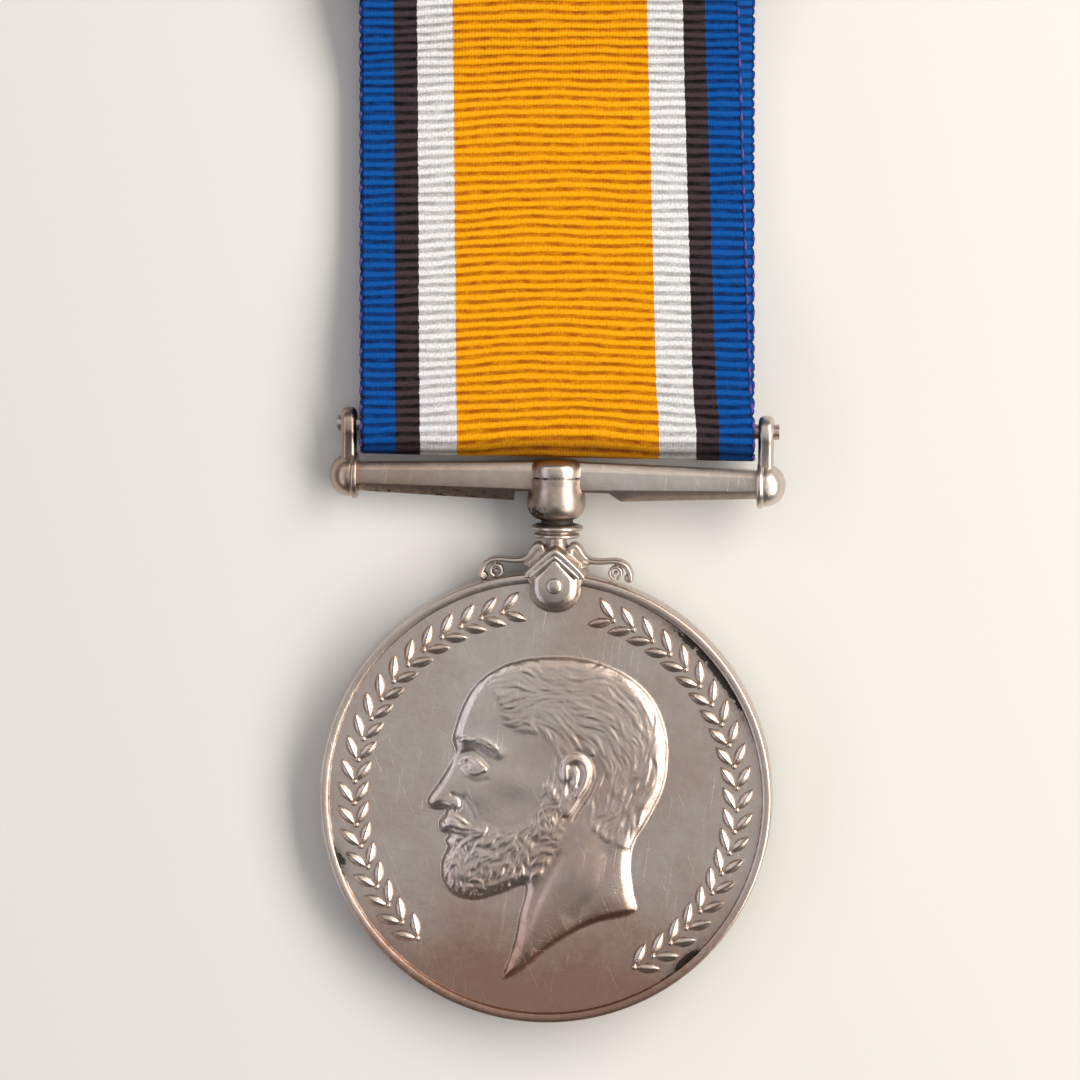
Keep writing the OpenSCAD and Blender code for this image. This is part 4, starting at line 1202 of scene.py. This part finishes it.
at = corners(claw)
COLLAR_TOP = 4.98
# Painted shade under the boss, along the lobes' lower edges and on the lower flanks
painted_shade_under_boss = smooth((at[:, 1] - COLLAR_TOP) / 0.08)
painted_shade_under_lobe = smooth((-0.7 - at[:, 1] - 0.3 * at[:, 0]) / 0.9) * smooth((2.45 - at[:, 2]) / 0.4)
dirt_and_shade = hollow_of(claw, 10, 0.09) * 0.80 + flank(claw, 0.9, 1.8) * 0.55 + painted_shade_under_boss + 0.6 * painted_shade_under_lobe
paint(claw, "hollow", dirt_and_shade)
paint(claw, "toning", 0.25)
outward(claw)
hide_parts("claw")
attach(claw, "root")

# %% [markdown]
# ## The suspender
# A straight bar, thicker towards the middle, with crisp filed facets: a narrow one above, the face,
# and a broad one below. A turned boss with a band, a groove and a cup stands over the claw's neck.
# A domed knob with a thin flange ends the bar on each side, and a rounded post stands behind each
# flange. Where the boss was fitted, two notches were filed in the bar's lower edge.

# %% Suspender
BAR_T = 1.8
KNOB_LEFT = -15.94
KNOB_RIGHT = 15.90
KNOB_Y = 8.56
ROD_Y = 12.58
BOSS_LOW = 5.34
# The bar's edges at the middle and at the ends: top, top of the face, foot of the face, bottom
EDGES_MID = (10.04, 9.34, 7.84, 6.76)
EDGES_END = (9.66, 9.14, 8.04, 7.40)
BAR_SECTIONS = 18
# How far the upper and the lower facet fall back from the face
FALL_TOP, FALL_LOW = 0.28, 0.62


def bar_section(x, edges):
    """Eight corners of the bar's section, with its facets."""
    z, (top, face_top, face_low, low) = BAR_T / 2, edges
    half = [(top, z - FALL_TOP), (face_top, z), (face_low, z), (low, z - FALL_LOW)]
    return [(x, y, w) for y, w in half] + [(x, y, -w) for y, w in half[::-1]]


def half_bar(end):
    """Half of the bar, from the boss to a knob."""
    start = 0.4 * np.sign(end)
    shares = np.linspace(0, 1, BAR_SECTIONS)
    mid, tip = np.array(EDGES_MID), np.array(EDGES_END)
    return filed([bar_section(start + (end - start) * t, mid * (1 - t) + tip * t) for t in shares], 0.05)


EYE_UP, EYE_DEEP, STRAP_HALF = 1.45, 1.25, 0.90
left_notch = block([(-3.45, 6.0), (-2.0, 6.0), (-2.0, 7.68), (-3.45, 7.68)], -2, 2, 0.04)
right_notch = block([(2.0, 6.0), (6.4, 6.0), (4.1, 7.65), (2.0, 7.65)], -2, 2, 0.04)
cup = [(0.75, 0.02), (1.30, 0.05), (1.74, 0.22), (2.06, 0.52), (2.25, 0.90), (2.34, 1.30), (2.34, 1.60)]
cup += [(2.28, 2.04), (2.20, 2.42), (2.13, 2.74), (2.09, 2.90), (2.10, 3.02), (2.12, 3.34), (2.10, 3.42)]
cup += [(2.00, 3.45), (2.00, 3.51), (2.10, 3.54), (2.13, 3.62), (2.14, 4.16), (2.07, 4.42), (1.90, 4.64)]
cup += [(1.60, 4.80), (1.10, 4.88), (0.60, 4.90)]
boss = turned([(r, y + BOSS_LOW) for r, y in cup], Matrix.Translation((-0.08, 0, 0)) @ ALONG_Y, 96)
knob = [(1.0, -0.03), (1.72, -0.02), (1.84, 0.03), (1.88, 0.11), (1.88, 0.30), (1.83, 0.40), (1.72, 0.44)]
knob += [(1.68, 0.50), (1.71, 0.58), (1.70, 0.82), (1.61, 1.16), (1.43, 1.50), (1.15, 1.82), (0.80, 2.05)]
knob += [(0.40, 2.18), (0.10, 2.22)]
to_left = Matrix.Rotation(math.pi, 4, "Z")
knob_right = turned(knob, Matrix.Translation((KNOB_RIGHT, KNOB_Y - 0.06, 0)) @ ALONG_X, 72)
knob_left = turned(knob, Matrix.Translation((KNOB_LEFT, KNOB_Y + 0.06, 0)) @ to_left @ ALONG_X, 72)


def post(inner, outer):
    """A rounded strap from the knob to a round eye about the rod."""
    turn = np.radians(np.linspace(-130, 130, 19))
    eye = [(ROD_Y + EYE_UP * math.cos(a), EYE_DEEP * math.sin(a)) for a in turn]
    outline = [(KNOB_Y, -STRAP_HALF), *eye, (KNOB_Y, STRAP_HALF)]
    return filed([[(x, y, z) for y, z in outline] for x in (inner, outer)], 0.42, 5, 50)


print("bar from", KNOB_LEFT, "to", KNOB_RIGHT, "mm, boss of", len(boss[1]), "faces")

# %% [markdown]
# The two halves meet inside the boss. The notches are cut with a boolean while the bar is still alone,
# then boss, knobs and posts join it. Dirt lies in the boss's groove. Painted shade darkens the bar's
# lower edge and low sides, the boss's lower left and its cup, and tones the bar more towards the left.

# %% Build the suspender
bar_shells = together([half_bar(KNOB_LEFT - 0.1), half_bar(KNOB_RIGHT + 0.1)])
bar = make_piece("bar_suspender", *bar_shells)
for notch in (left_notch, right_notch):
    cutter = outward(make_piece("notch", *notch))
    outward(bar)
    cut_off = {"operation": "DIFFERENCE", "object": cutter, "solver": "EXACT", "use_self": True}
    evaluated(bar, ("BOOLEAN", cut_off))
    bpy.data.objects.remove(cutter)
rest = together([boss, knob_right, knob_left, post(-16.06, -17.24), post(15.92, 17.12)])
bar = joined("bar_suspender", [outward(bar), outward(make_piece("fittings", *rest))])
bar.data.transform(metal)
coat(bar, cast_silver, 28)
at = corners(bar)
clear_of_boss = smooth((np.abs(at[:, 0]) - 2.3) / 0.2)
foot_y = 7.88 + 0.18 * np.abs(at[:, 0]) / KNOB_RIGHT
clear_of_knobs = smooth((15.7 - np.abs(at[:, 0])) / 0.2)
# A painted dark reflection along the bar's lower edge, heavier towards the left
painted_low_edge_shade = smooth((foot_y + 0.04 - at[:, 1]) / 0.12) * clear_of_boss * clear_of_knobs
painted_low_edge_shade *= 0.12 + 0.46 * smooth((1 - at[:, 0]) / 2)
on_boss = 1 - clear_of_boss
# Painted shade on the boss's lower left
painted_low_left_shade = on_boss * smooth((BOSS_LOW + 2.2 - at[:, 1]) / 1.6) * smooth((0.2 - at[:, 0]) / 1.6) * 0.7
groove = np.exp(-(((at[:, 1] - BOSS_LOW - 3.48) / 0.10) ** 2)) * on_boss * 0.8
# Painted shade on the cup below the groove, which is darker and more toned
painted_cup_shade = on_boss * smooth((BOSS_LOW + 3.5 - at[:, 1]) / 0.1)
# The low sides darken as painted shade, and the boss's groove holds real dirt
paint(bar, "hollow", flank(bar, 0.7, 1.6) * 0.5 + painted_low_edge_shade + groove + painted_low_left_shade + 0.22 * painted_cup_shade)
# The bar tones more towards the left, as painted shade from the light on the right
paint(bar, "toning", 0.75 * smooth((6 - at[:, 0]) / 16) + 0.35 * painted_cup_shade + painted_low_edge_shade)
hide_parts("suspender_bar")
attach(bar, "root")
print("suspender of", len(bar.data.polygons), "faces")

# %% [markdown]
# ## The rivet and the rod
# Both are plain drawn wire. The rivet is hammered over to a low dome on each lobe, so it is turned
# from its outline. The rod's solid has the right shape already, and only takes the silver.

# %% Rivet and rod
RIVET_R = 0.66
head = [(RIVET_R - 0.04, 2.55), (RIVET_R, 2.62), (RIVET_R - 0.03, 2.70), (0.50, 2.78), (0.28, 2.84)]
head += [(0.06, 2.86)]
rivet = turned([(r, -z) for r, z in head[::-1]] + head, Matrix.Translation((0, CLAW_UP, 0)), 48)
rivet = make_piece("rivet_wire", *rivet, metal)
coat(rivet, cast_silver, 50)
outward(rivet)
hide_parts("claw_rivet")
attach(rivet, "root")
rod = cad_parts["ribbon_rod"]
rod.data.materials.clear()
rod.data.materials.append(cast_silver)
for piece in (rivet, rod):
    paint(piece, "hollow", 0.1)
    paint(piece, "toning", 0.25)
print("rivet and rod dressed")

# %% [markdown]
# ## The ribbon
# The ribbon is corded silk: thick weft cords lie across it, 0.73 mm apart, and fine warp threads
# cover them. It runs round the rod, up behind, over the brooch and down in front. Its middle line
# repeats the solid's, in millimetres, and the columns of points across it follow the tilted rod.

# %% The ribbon's path
RIBBON_W = 31.4
RIBBON_T = 1.0
CLOTH_GAP = 0.12
ROD_D = 1.2
LOOP_REACH = 1.92
FRONT_LEAN = 1.25
SETTLE_LEN = 17
RISE_LEN = 9
PLATE_H = 3.6
PLATE_T = 0.9
PIN_D = 1.0
# Steps of the middle line round the rod and round the top fold. Each run between has three times as many.
LINE_STEPS = 400
ribbon_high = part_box("ribbon")[1]
loop_half = ROD_D / 2 + CLOTH_GAP + RIBBON_T / 2
back_bed = RIBBON_T / 2
front_bed = back_bed + RIBBON_T + CLOTH_GAP
back_top = PIN_D + CLOTH_GAP + RIBBON_T / 2
front_top = back_top + RIBBON_T + 2 * CLOTH_GAP + PLATE_T
fold_r = (front_top - back_top) / 2
fold_y = ribbon_high.y / MM - fold_r - RIBBON_T / 2
brooch_y = fold_y - PLATE_H


def rod_at(u):
    """Place on the rod's axis at a share of half the ribbon's width."""
    return np.array(rod_mid + rod_right * (u * RIBBON_W / 2))


def run_height(y, rod, bed, rod_end, top_end):
    """Height of a layer between the rod and the brooch."""
    sink = (rod_end - bed) * (1 - smooth((y - rod[1]) / SETTLE_LEN))
    return bed + sink + (top_end - bed) * smooth((y - brooch_y + RISE_LEN) / RISE_LEN)


def middle_line(rod, fine=LINE_STEPS):
    """Middle line of the ribbon across the rod: round it, up the back, over the top, down in front."""
    a = np.linspace(0, math.pi, fine, endpoint=False)
    y = np.linspace(rod[1], fold_y, 3 * fine, endpoint=False)
    under = np.stack([rod[1] - LOOP_REACH * np.sin(a), rod[2] + loop_half * np.cos(a)], -1)
    back = np.stack([y, run_height(y, rod, back_bed, rod[2] - loop_half, back_top)], -1)
    over = np.stack([fold_y + fold_r * np.sin(a), back_top + fold_r * (1 - np.cos(a))], -1)
    y = y[::-1] + (y[1] - y[0])
    front = np.stack([y, run_height(y, rod, front_bed, rod[2] + loop_half, front_top)], -1)
    return np.concatenate([under, back, over, front])


RIB_PITCH = 0.73
mid_line = middle_line(rod_at(0))
runs = np.hypot(*np.diff(np.concatenate([mid_line, mid_line[:1]]), axis=0).T)
path_len = runs.sum()
ribs = 2 * int(round(path_len / RIB_PITCH / 2))
share_at = np.concatenate([[0], np.cumsum(runs)]) / path_len
print("ribbon", round(path_len, 1), "mm round,", ribs, "cords")

# %% [markdown]
# The strip is a grid that closes on itself. Its rows follow the cords, which bow up a little
# towards the middle and waver, as woven ones do. Eight rows make a cord's round back and the groove
# beside it. The cords are raised by Geometry Nodes in the next step, so that their height and pitch
# stay numbers that can be turned.

# %% The ribbon's strip
ROWS_PER_RIB = 8
FLAT_COLS = 78
INNER_COLS = 10
EDGE_IN = (0.30, 0.12, 0.03)
EDGE_DEPTH = (0.00, 0.04, 0.22)
BOW = 0.55
BOW_WIDE = 0.95
# The boss pushes the cords up near the bar: how far, where across, over what width, how far along
PUSH_UP = 0.40
PUSH_AT = 0.04
PUSH_WIDE = 0.42
PUSH_REACH = 14
REAR_REACH = 5
# Where the loop round the rod is painted darker as painted shade: its middle and half length along the
# ribbon, in mm
LOOP_SHADE_MIDDLE = 2.7
LOOP_SHADE_HALF = 1.6
# Slight waves of the cords. Columns: height in mm, radians over half the width, whole turns along.
WAVER = ((0.05, 7.0, 9), (0.035, 13.0, -14), (0.02, 29.0, 23))
END_LEAN = 0.20
SHIFT_LEFT = 0.10
CLOTH_T = 0.62
rows_total = ribs * ROWS_PER_RIB
half_w = RIBBON_W / 2
edge_u = 1 - np.array(EDGE_IN) / half_w
u_flat = np.linspace(-0.965, 0.965, FLAT_COLS)
u_inner = np.linspace(0.99, -0.99, INNER_COLS)
u_ring = np.concatenate([-edge_u[::-1], u_flat, edge_u, [1.0], u_inner, [-1.0]])
inner_depth = [0.5, *np.ones(INNER_COLS), 0.5]
depth = np.concatenate([EDGE_DEPTH[::-1], np.zeros(FLAT_COLS), EDGE_DEPTH, inner_depth])
rib_share = np.arange(rows_total) / rows_total
full_turn = 2 * math.pi * rib_share
from_bar = (1 - rib_share) * path_len
behind_rod = 1 - smooth(rib_share * path_len / REAR_REACH)
near_bar = np.where(rib_share < 0.5, behind_rod, np.exp(-from_bar / PUSH_REACH))
fold_from, fold_to = share_at[4 * LINE_STEPS], share_at[5 * LINE_STEPS]


def strip_points():
    """Points of the strip, and the way out of the cloth at each."""
    points = np.zeros((rows_total, len(u_ring), 3))
    out = np.zeros_like(points)
    for c, u in enumerate(u_ring):
        rod = rod_at(u)
        line = middle_line(rod)
        way = np.roll(line, -2, 0) - np.roll(line, 2, 0)
        normal = np.stack([way[:, 1], -way[:, 0]], -1) / np.linalg.norm(way, axis=1)[:, None]
        bow = BOW * smooth((u + 1) / BOW_WIDE)
        bow = bow + PUSH_UP * math.exp(-(((u - PUSH_AT) / PUSH_WIDE) ** 2)) * near_bar
        bow = bow + sum(high * np.sin(side * u + round_ * full_turn) for high, side, round_ in WAVER)
        at = (rib_share - bow / path_len) % 1
        y, z, ny, nz = (np.interp(at, share_at, np.append(v, v[0])) for v in (*line.T, *normal.T))
        off = RIBBON_T / 2 - depth[c] * CLOTH_T
        climb = np.clip((y - rod[1]) / (fold_y - rod[1]), 0, None)
        climb = climb * smooth((at - fold_from) / (fold_to - fold_from))
        leaning = FRONT_LEAN * climb + END_LEAN * smooth(climb * 10)
        x = rod[0] - SHIFT_LEFT - leaning * (u + 1) / 2
        points[:, c] = np.stack([x, y + ny * off, z + nz * off], -1)
        side = smooth((abs(u) - 0.975) / 0.025) * (1 if depth[c] < 1 else 0)
        top = (1 - side) * (1 if depth[c] < 0.5 else 0)
        out[:, c] = np.stack([np.full(rows_total, side * math.copysign(1, u)), ny * top, nz * top], -1)
    return points, out


strip, strip_out = strip_points()
strip_faces = grid_faces(rows_total, len(u_ring), True, True)
print("strip of", strip.shape[0], "by", strip.shape[1], "points")


# %% [markdown]
# A cord's back is half a sine wave, made fuller by a power below 1. The tree works that out as a chain
# of sums, each with the last one's result, and moves each point along the way out of the cloth, which
# the strip stores for it.

# %% Geometry Nodes for the cords
CORD_ROUND = 0.85


def cord_tree():
    """Raises the strip in round cords of a pitch and a height, with a groove between."""
    tree, given, out = new_tree("silk_cords", {"Pitch": "NodeSocketFloat", "Height": "NodeSocketFloat"})
    tree.interface.new_socket("Material", in_out="INPUT", socket_type="NodeSocketMaterial")
    along = add_node(tree, "GeometryNodeInputNamedAttribute", {"Name": "along"}, data_type="FLOAT")
    way = add_node(tree, "GeometryNodeInputNamedAttribute", {"Name": "out"}, data_type="FLOAT_VECTOR")
    lift = along
    for operation, *second in (
        ("DIVIDE", given.outputs["Pitch"]), ("FRACT",), ("MULTIPLY", math.pi), ("SINE",), ("ABSOLUTE",),
        ("POWER", CORD_ROUND), ("SUBTRACT", 1.0), ("MULTIPLY", given.outputs["Height"]),
    ):
        lift = add_node(tree, "ShaderNodeMath", dict(enumerate([lift, *second])), operation=operation)
    move = add_node(tree, "ShaderNodeVectorMath", {0: way, 3: lift}, operation="SCALE")
    lifted = {"Geometry": given.outputs["Geometry"], "Offset": move}
    raised = add_node(tree, "GeometryNodeSetPosition", lifted)
    finish_tree(tree, out, raised, given.outputs["Material"])
    return tree


print("cord tree:", len(cord_tree().nodes), "nodes")

# %% [markdown]
# ## Silk
# The colours are woven in, as warp stripes. Silk cords have a soft sheen. Each stripe's grooves are
# painted darker than its cords' round backs, as painted shade, nearly black in the dark stripes. The
# orange was watered: pressed when damp, so its grooves look darker over short lengths, drawn as
# patches of deeper painted shade. The loop round the rod is painted darker, as painted shade. The
# stripe's edges follow single warp threads, so they waver a little from cord to cord.


# %% Silk material
STRIPES = (0.0085, 0.0800, 0.0632, 0.0934, 0.5090, 0.0942, 0.0596, 0.0835)
# The colour of each stripe's cords and of its grooves, from the edge to the middle; the darker groove colours
# are painted shade
SELVEDGE, BLUE, BLACK = ("#0a3476", "#03102a"), ("#0453a4", "#052658"), ("#44363a", "#0c0709")
WHITE, ORANGE = ("#edebec", "#aca8a7"), ("#ffac08", "#ad5a00")
COLOURS = [SELVEDGE, BLUE, BLACK, WHITE, ORANGE, WHITE, BLACK, BLUE, SELVEDGE]
# Tint of the painted shade on the loop round the rod
LOOP_SHADE_TINT = "#3a2410"
# Warp threads of such silk lie about eight to the millimetre
WARP_PITCH = 0.12


def silk_material():
    """Corded silk. Reads 'across' from 0 to 1, 'along' in mm, and 'cord' and the loop's painted shade from 0
    to 1.
    """
    made, tree = new_material("corded_silk")
    labels = ("across", "along", "cord", "soil")
    read_by = [add_node(tree, "ShaderNodeAttribute", attribute_name=label) for label in labels]
    across_u, along, cord, soil = (node.outputs["Fac"] for node in read_by)
    place = add_node(tree, "ShaderNodeCombineXYZ", {"X": across_u, "Y": along})
    in_mm = add_node(tree, "ShaderNodeVectorMath", {0: place, 1: (RIBBON_W, 1, 1)}, operation="MULTIPLY")
    wide = add_node(tree, "ShaderNodeMapping", {"Vector": in_mm, "Scale": (0.80, 1.9, 1.0)})
    watered = {"Vector": wide, "Scale": 1.0, "Detail": 3.0, "Roughness": 0.6}
    water = add_node(tree, "ShaderNodeTexNoise", watered)
    waver = add_node(tree, "ShaderNodeTexNoise", {"Vector": in_mm, "Scale": 2.6, "Detail": 2.0})
    fuzz = add_node(tree, "ShaderNodeTexNoise", {"Vector": in_mm, "Scale": 5.0, "Detail": 3.0})
    edge = add_node(tree, "ShaderNodeMapRange", {0: waver, 1: 0.3, 2: 0.7, 3: -0.0016, 4: 0.0016})
    edge = add_node(tree, "ShaderNodeMath", {0: across_u, 1: edge}, operation="ADD")
    stripes = []
    for layer in zip(*COLOURS):
        ramp = add_node(tree, "ShaderNodeValToRGB", {"Fac": edge})
        ramp.color_ramp.interpolation = "CONSTANT"
        while len(ramp.color_ramp.elements) < len(layer):
            ramp.color_ramp.elements.new(0.5)
        for stop, start, hue in zip(ramp.color_ramp.elements, [0.0, *np.cumsum(STRIPES)], layer):
            stop.position, stop.color = start, linear(hue)
        stripes.append(ramp.outputs["Color"])
    # Painted shade in the grooves, deeper in patches along the ribbon
    patchy_groove_shade = add_node(tree, "ShaderNodeMapRange", {0: water, 1: 0.38, 2: 0.62, 3: 0.55, 4: 1.0})
    groove = add_node(tree, "ShaderNodeMapRange", {0: cord, 1: 0.89, 2: 0.46})
    deep = add_node(tree, "ShaderNodeMath", {0: groove, 1: patchy_groove_shade}, operation="MULTIPLY")
    colour = stripes[0]
    for share, hue, blend in ((deep, stripes[1], "MIX"), (soil, linear(LOOP_SHADE_TINT), "MULTIPLY")):
        both = {0: share, 6: colour, 7: hue}
        colour = add_node(tree, "ShaderNodeMix", both, data_type="RGBA", blend_type=blend).outputs[2]
    turns = RIBBON_W / WARP_PITCH * 2 * math.pi
    warp = add_node(tree, "ShaderNodeMath", {0: across_u, 1: turns}, operation="MULTIPLY")
    warp = add_node(tree, "ShaderNodeMath", {0: warp}, operation="SINE")
    height = add_node(tree, "ShaderNodeMath", {0: warp, 1: 0.4, 2: fuzz}, operation="MULTIPLY_ADD")
    bump = add_node(tree, "ShaderNodeBump", {"Strength": 0.7, "Distance": 0.03 * MM, "Height": height})
    shade = add_node(tree, "ShaderNodeMapRange", {0: warp, 1: -1.0, 2: 1.0, 3: 0.93, 4: 1.03})
    mottle = add_node(tree, "ShaderNodeMapRange", {0: fuzz, 1: 0.3, 2: 0.7, 3: 0.76, 4: 1.14})
    shade = add_node(tree, "ShaderNodeMath", {0: shade, 1: mottle}, operation="MULTIPLY")
    colour = add_node(tree, "ShaderNodeVectorMath", {0: colour, 3: shade}, operation="SCALE")
    cloth = {"Base Color": colour, "Roughness": 0.66, "Normal": bump, "Specular IOR Level": 0.10}
    finish_material(tree, {**cloth, "Sheen Weight": 0.02, "Sheen Roughness": 0.4})
    return made


silk = silk_material()
print("silk stripes end at", np.round(np.cumsum(STRIPES), 3))

# %% [markdown]
# The strip's mesh carries what its tree and its material read: how far along and across the ribbon
# each point lies, and how high on its cord. All are stored before the tree runs.


# %% Weave the ribbon
pitch = path_len / ribs
flat_along = np.repeat(rib_share * path_len, len(u_ring))
hump_at = np.abs(np.sin(math.pi * flat_along / pitch)) ** CORD_ROUND
# Painted shade on the loop round the rod, stored for the silk to read
loop_shade_at = 0.60 * smooth((LOOP_SHADE_HALF - np.abs(flat_along - LOOP_SHADE_MIDDLE)) / 0.9)
strip_mesh = bpy.data.meshes.new("ribbon_strip")
strip_mesh.from_pydata(strip.reshape(-1, 3).tolist(), [], strip_faces)
for label, kind, values in (
    ("along", "FLOAT", flat_along),
    ("across", "FLOAT", np.tile((u_ring + 1) / 2, rows_total)),
    ("cord", "FLOAT", hump_at),
    ("soil", "FLOAT", loop_shade_at),
    ("out", "FLOAT_VECTOR", strip_out.ravel()),
):
    layer = strip_mesh.attributes.new(label, kind, "POINT")
    layer.data.foreach_set("vector" if kind == "FLOAT_VECTOR" else "value", np.asarray(values, np.float32))
CORD_H = 0.17
ribbon = grow("corded_ribbon", cord_tree(), {"Pitch": pitch, "Height": CORD_H, "Material": silk}, strip_mesh)
ribbon.data.transform(Matrix.Scale(MM, 4))
ribbon.data.shade_smooth()
outward(ribbon)
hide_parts("ribbon")
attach(ribbon, "root")

# %% [markdown]
# ## Catch threads
# The ribbon was woven with a thin violet catch thread that shows as a row of short dashes along
# each edge, a cord long and a cord apart. One dash is made, and Geometry Nodes set it along the
# selvedge at twice the cord's pitch.


# %% A dash of thread and its tree
DASH_LEN = 0.70
DASH_W = 0.27
DASH_H = 0.16
stitch_paint, tree = new_material("violet_silk_thread")
thread = {"Base Color": linear("#4a3c88"), "Roughness": 0.6, "Specular IOR Level": 0.3}
finish_material(tree, {**thread, "Sheen Weight": 0.3})


def dash_piece(side):
    """A short dash of thread that lies along the cloth's edge."""
    along = np.linspace(-0.5, 0.5, 7)
    path = np.stack([side * (0.08 * along - 0.06), along * DASH_LEN], -1)
    widths = DASH_W * (1 - 0.55 * (2 * np.abs(along)) ** 3)
    made = make_piece("dash", *swept(path, widths, DASH_H, 2.0, 8))
    coat(made)
    return outward(made)


def stitch_tree(model):
    """Stitches along the selvedge at a spacing."""
    tree, given, out = new_tree("catch_stitches", {"Spacing": "NodeSocketFloat"})
    line = add_node(tree, "GeometryNodeMeshToCurve", {"Mesh": given.outputs["Geometry"]})
    even = {"Curve": line, "Length": given.outputs["Spacing"]}
    steps = add_node(tree, "GeometryNodeResampleCurve", even, mode="LENGTH")
    way = add_node(tree, "GeometryNodeInputTangent")
    facing = add_node(tree, "FunctionNodeAlignEulerToVector", {"Vector": way}, axis="Y", pivot_axis="X")
    source = add_node(tree, "GeometryNodeObjectInfo", {"Object": model}).outputs["Geometry"]
    set_out = {"Points": steps, "Instance": source, "Rotation": facing}
    copies = add_node(tree, "GeometryNodeInstanceOnPoints", set_out)
    finish_tree(tree, out, copies, stitch_paint)
    return tree


threads = []
for side, col in ((-1, 0), (1, FLAT_COLS + 2 * len(EDGE_IN) - 1)):
    model = dash_piece(side)
    edges = [(i, (i + 1) % rows_total) for i in range(rows_total)]
    selvedge = bpy.data.meshes.new("selvedge")
    selvedge.from_pydata(strip[:, col].tolist(), edges, [])
    threads.append(grow("catch_threads", stitch_tree(model), {"Spacing": 2 * pitch}, selvedge))
    bpy.data.objects.remove(model)
catch = joined("catch_threads", threads)
catch.data.transform(Matrix.Scale(MM, 4))
coat(catch, stitch_paint)
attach(catch, "root")
print("threads of", len(catch.data.polygons), "faces")

# %% [markdown]
# ## The brooch
# The brooch is hidden behind the ribbon in the photograph. Such brooches are stamped from brass
# sheet, so its plain solid takes a satin brass, a little brown in patches.

# %% Brass
brass, tree = new_material("satin_brass")
place = add_node(tree, "ShaderNodeTexCoord").outputs["Object"]
cloud = add_node(tree, "ShaderNodeTexNoise", {"Vector": place, "Scale": 220.0, "Detail": 4.0})
brown = add_node(tree, "ShaderNodeMapRange", {0: cloud, 1: 0.35, 2: 0.7})
both = {0: brown, 6: linear("#c9a35a"), 7: linear("#9a7338")}
colour = add_node(tree, "ShaderNodeMix", both, data_type="RGBA").outputs[2]
rough = add_node(tree, "ShaderNodeMapRange", {0: cloud, 1: 0.3, 2: 0.7, 3: 0.28, 4: 0.42})
finish_material(tree, {"Base Color": colour, "Metallic": 1.0, "Roughness": rough})
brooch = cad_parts["brooch_pin"]
brooch.data.materials.clear()
brooch.data.materials.append(brass)
print("brooch dressed")

# %% [markdown]
# ## Measure and finish
# The box of what is shown is printed, in millimetres.

# %% Finish
low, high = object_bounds()
print("visual box in mm:", [round(x / MM, 2) for x in high - low])
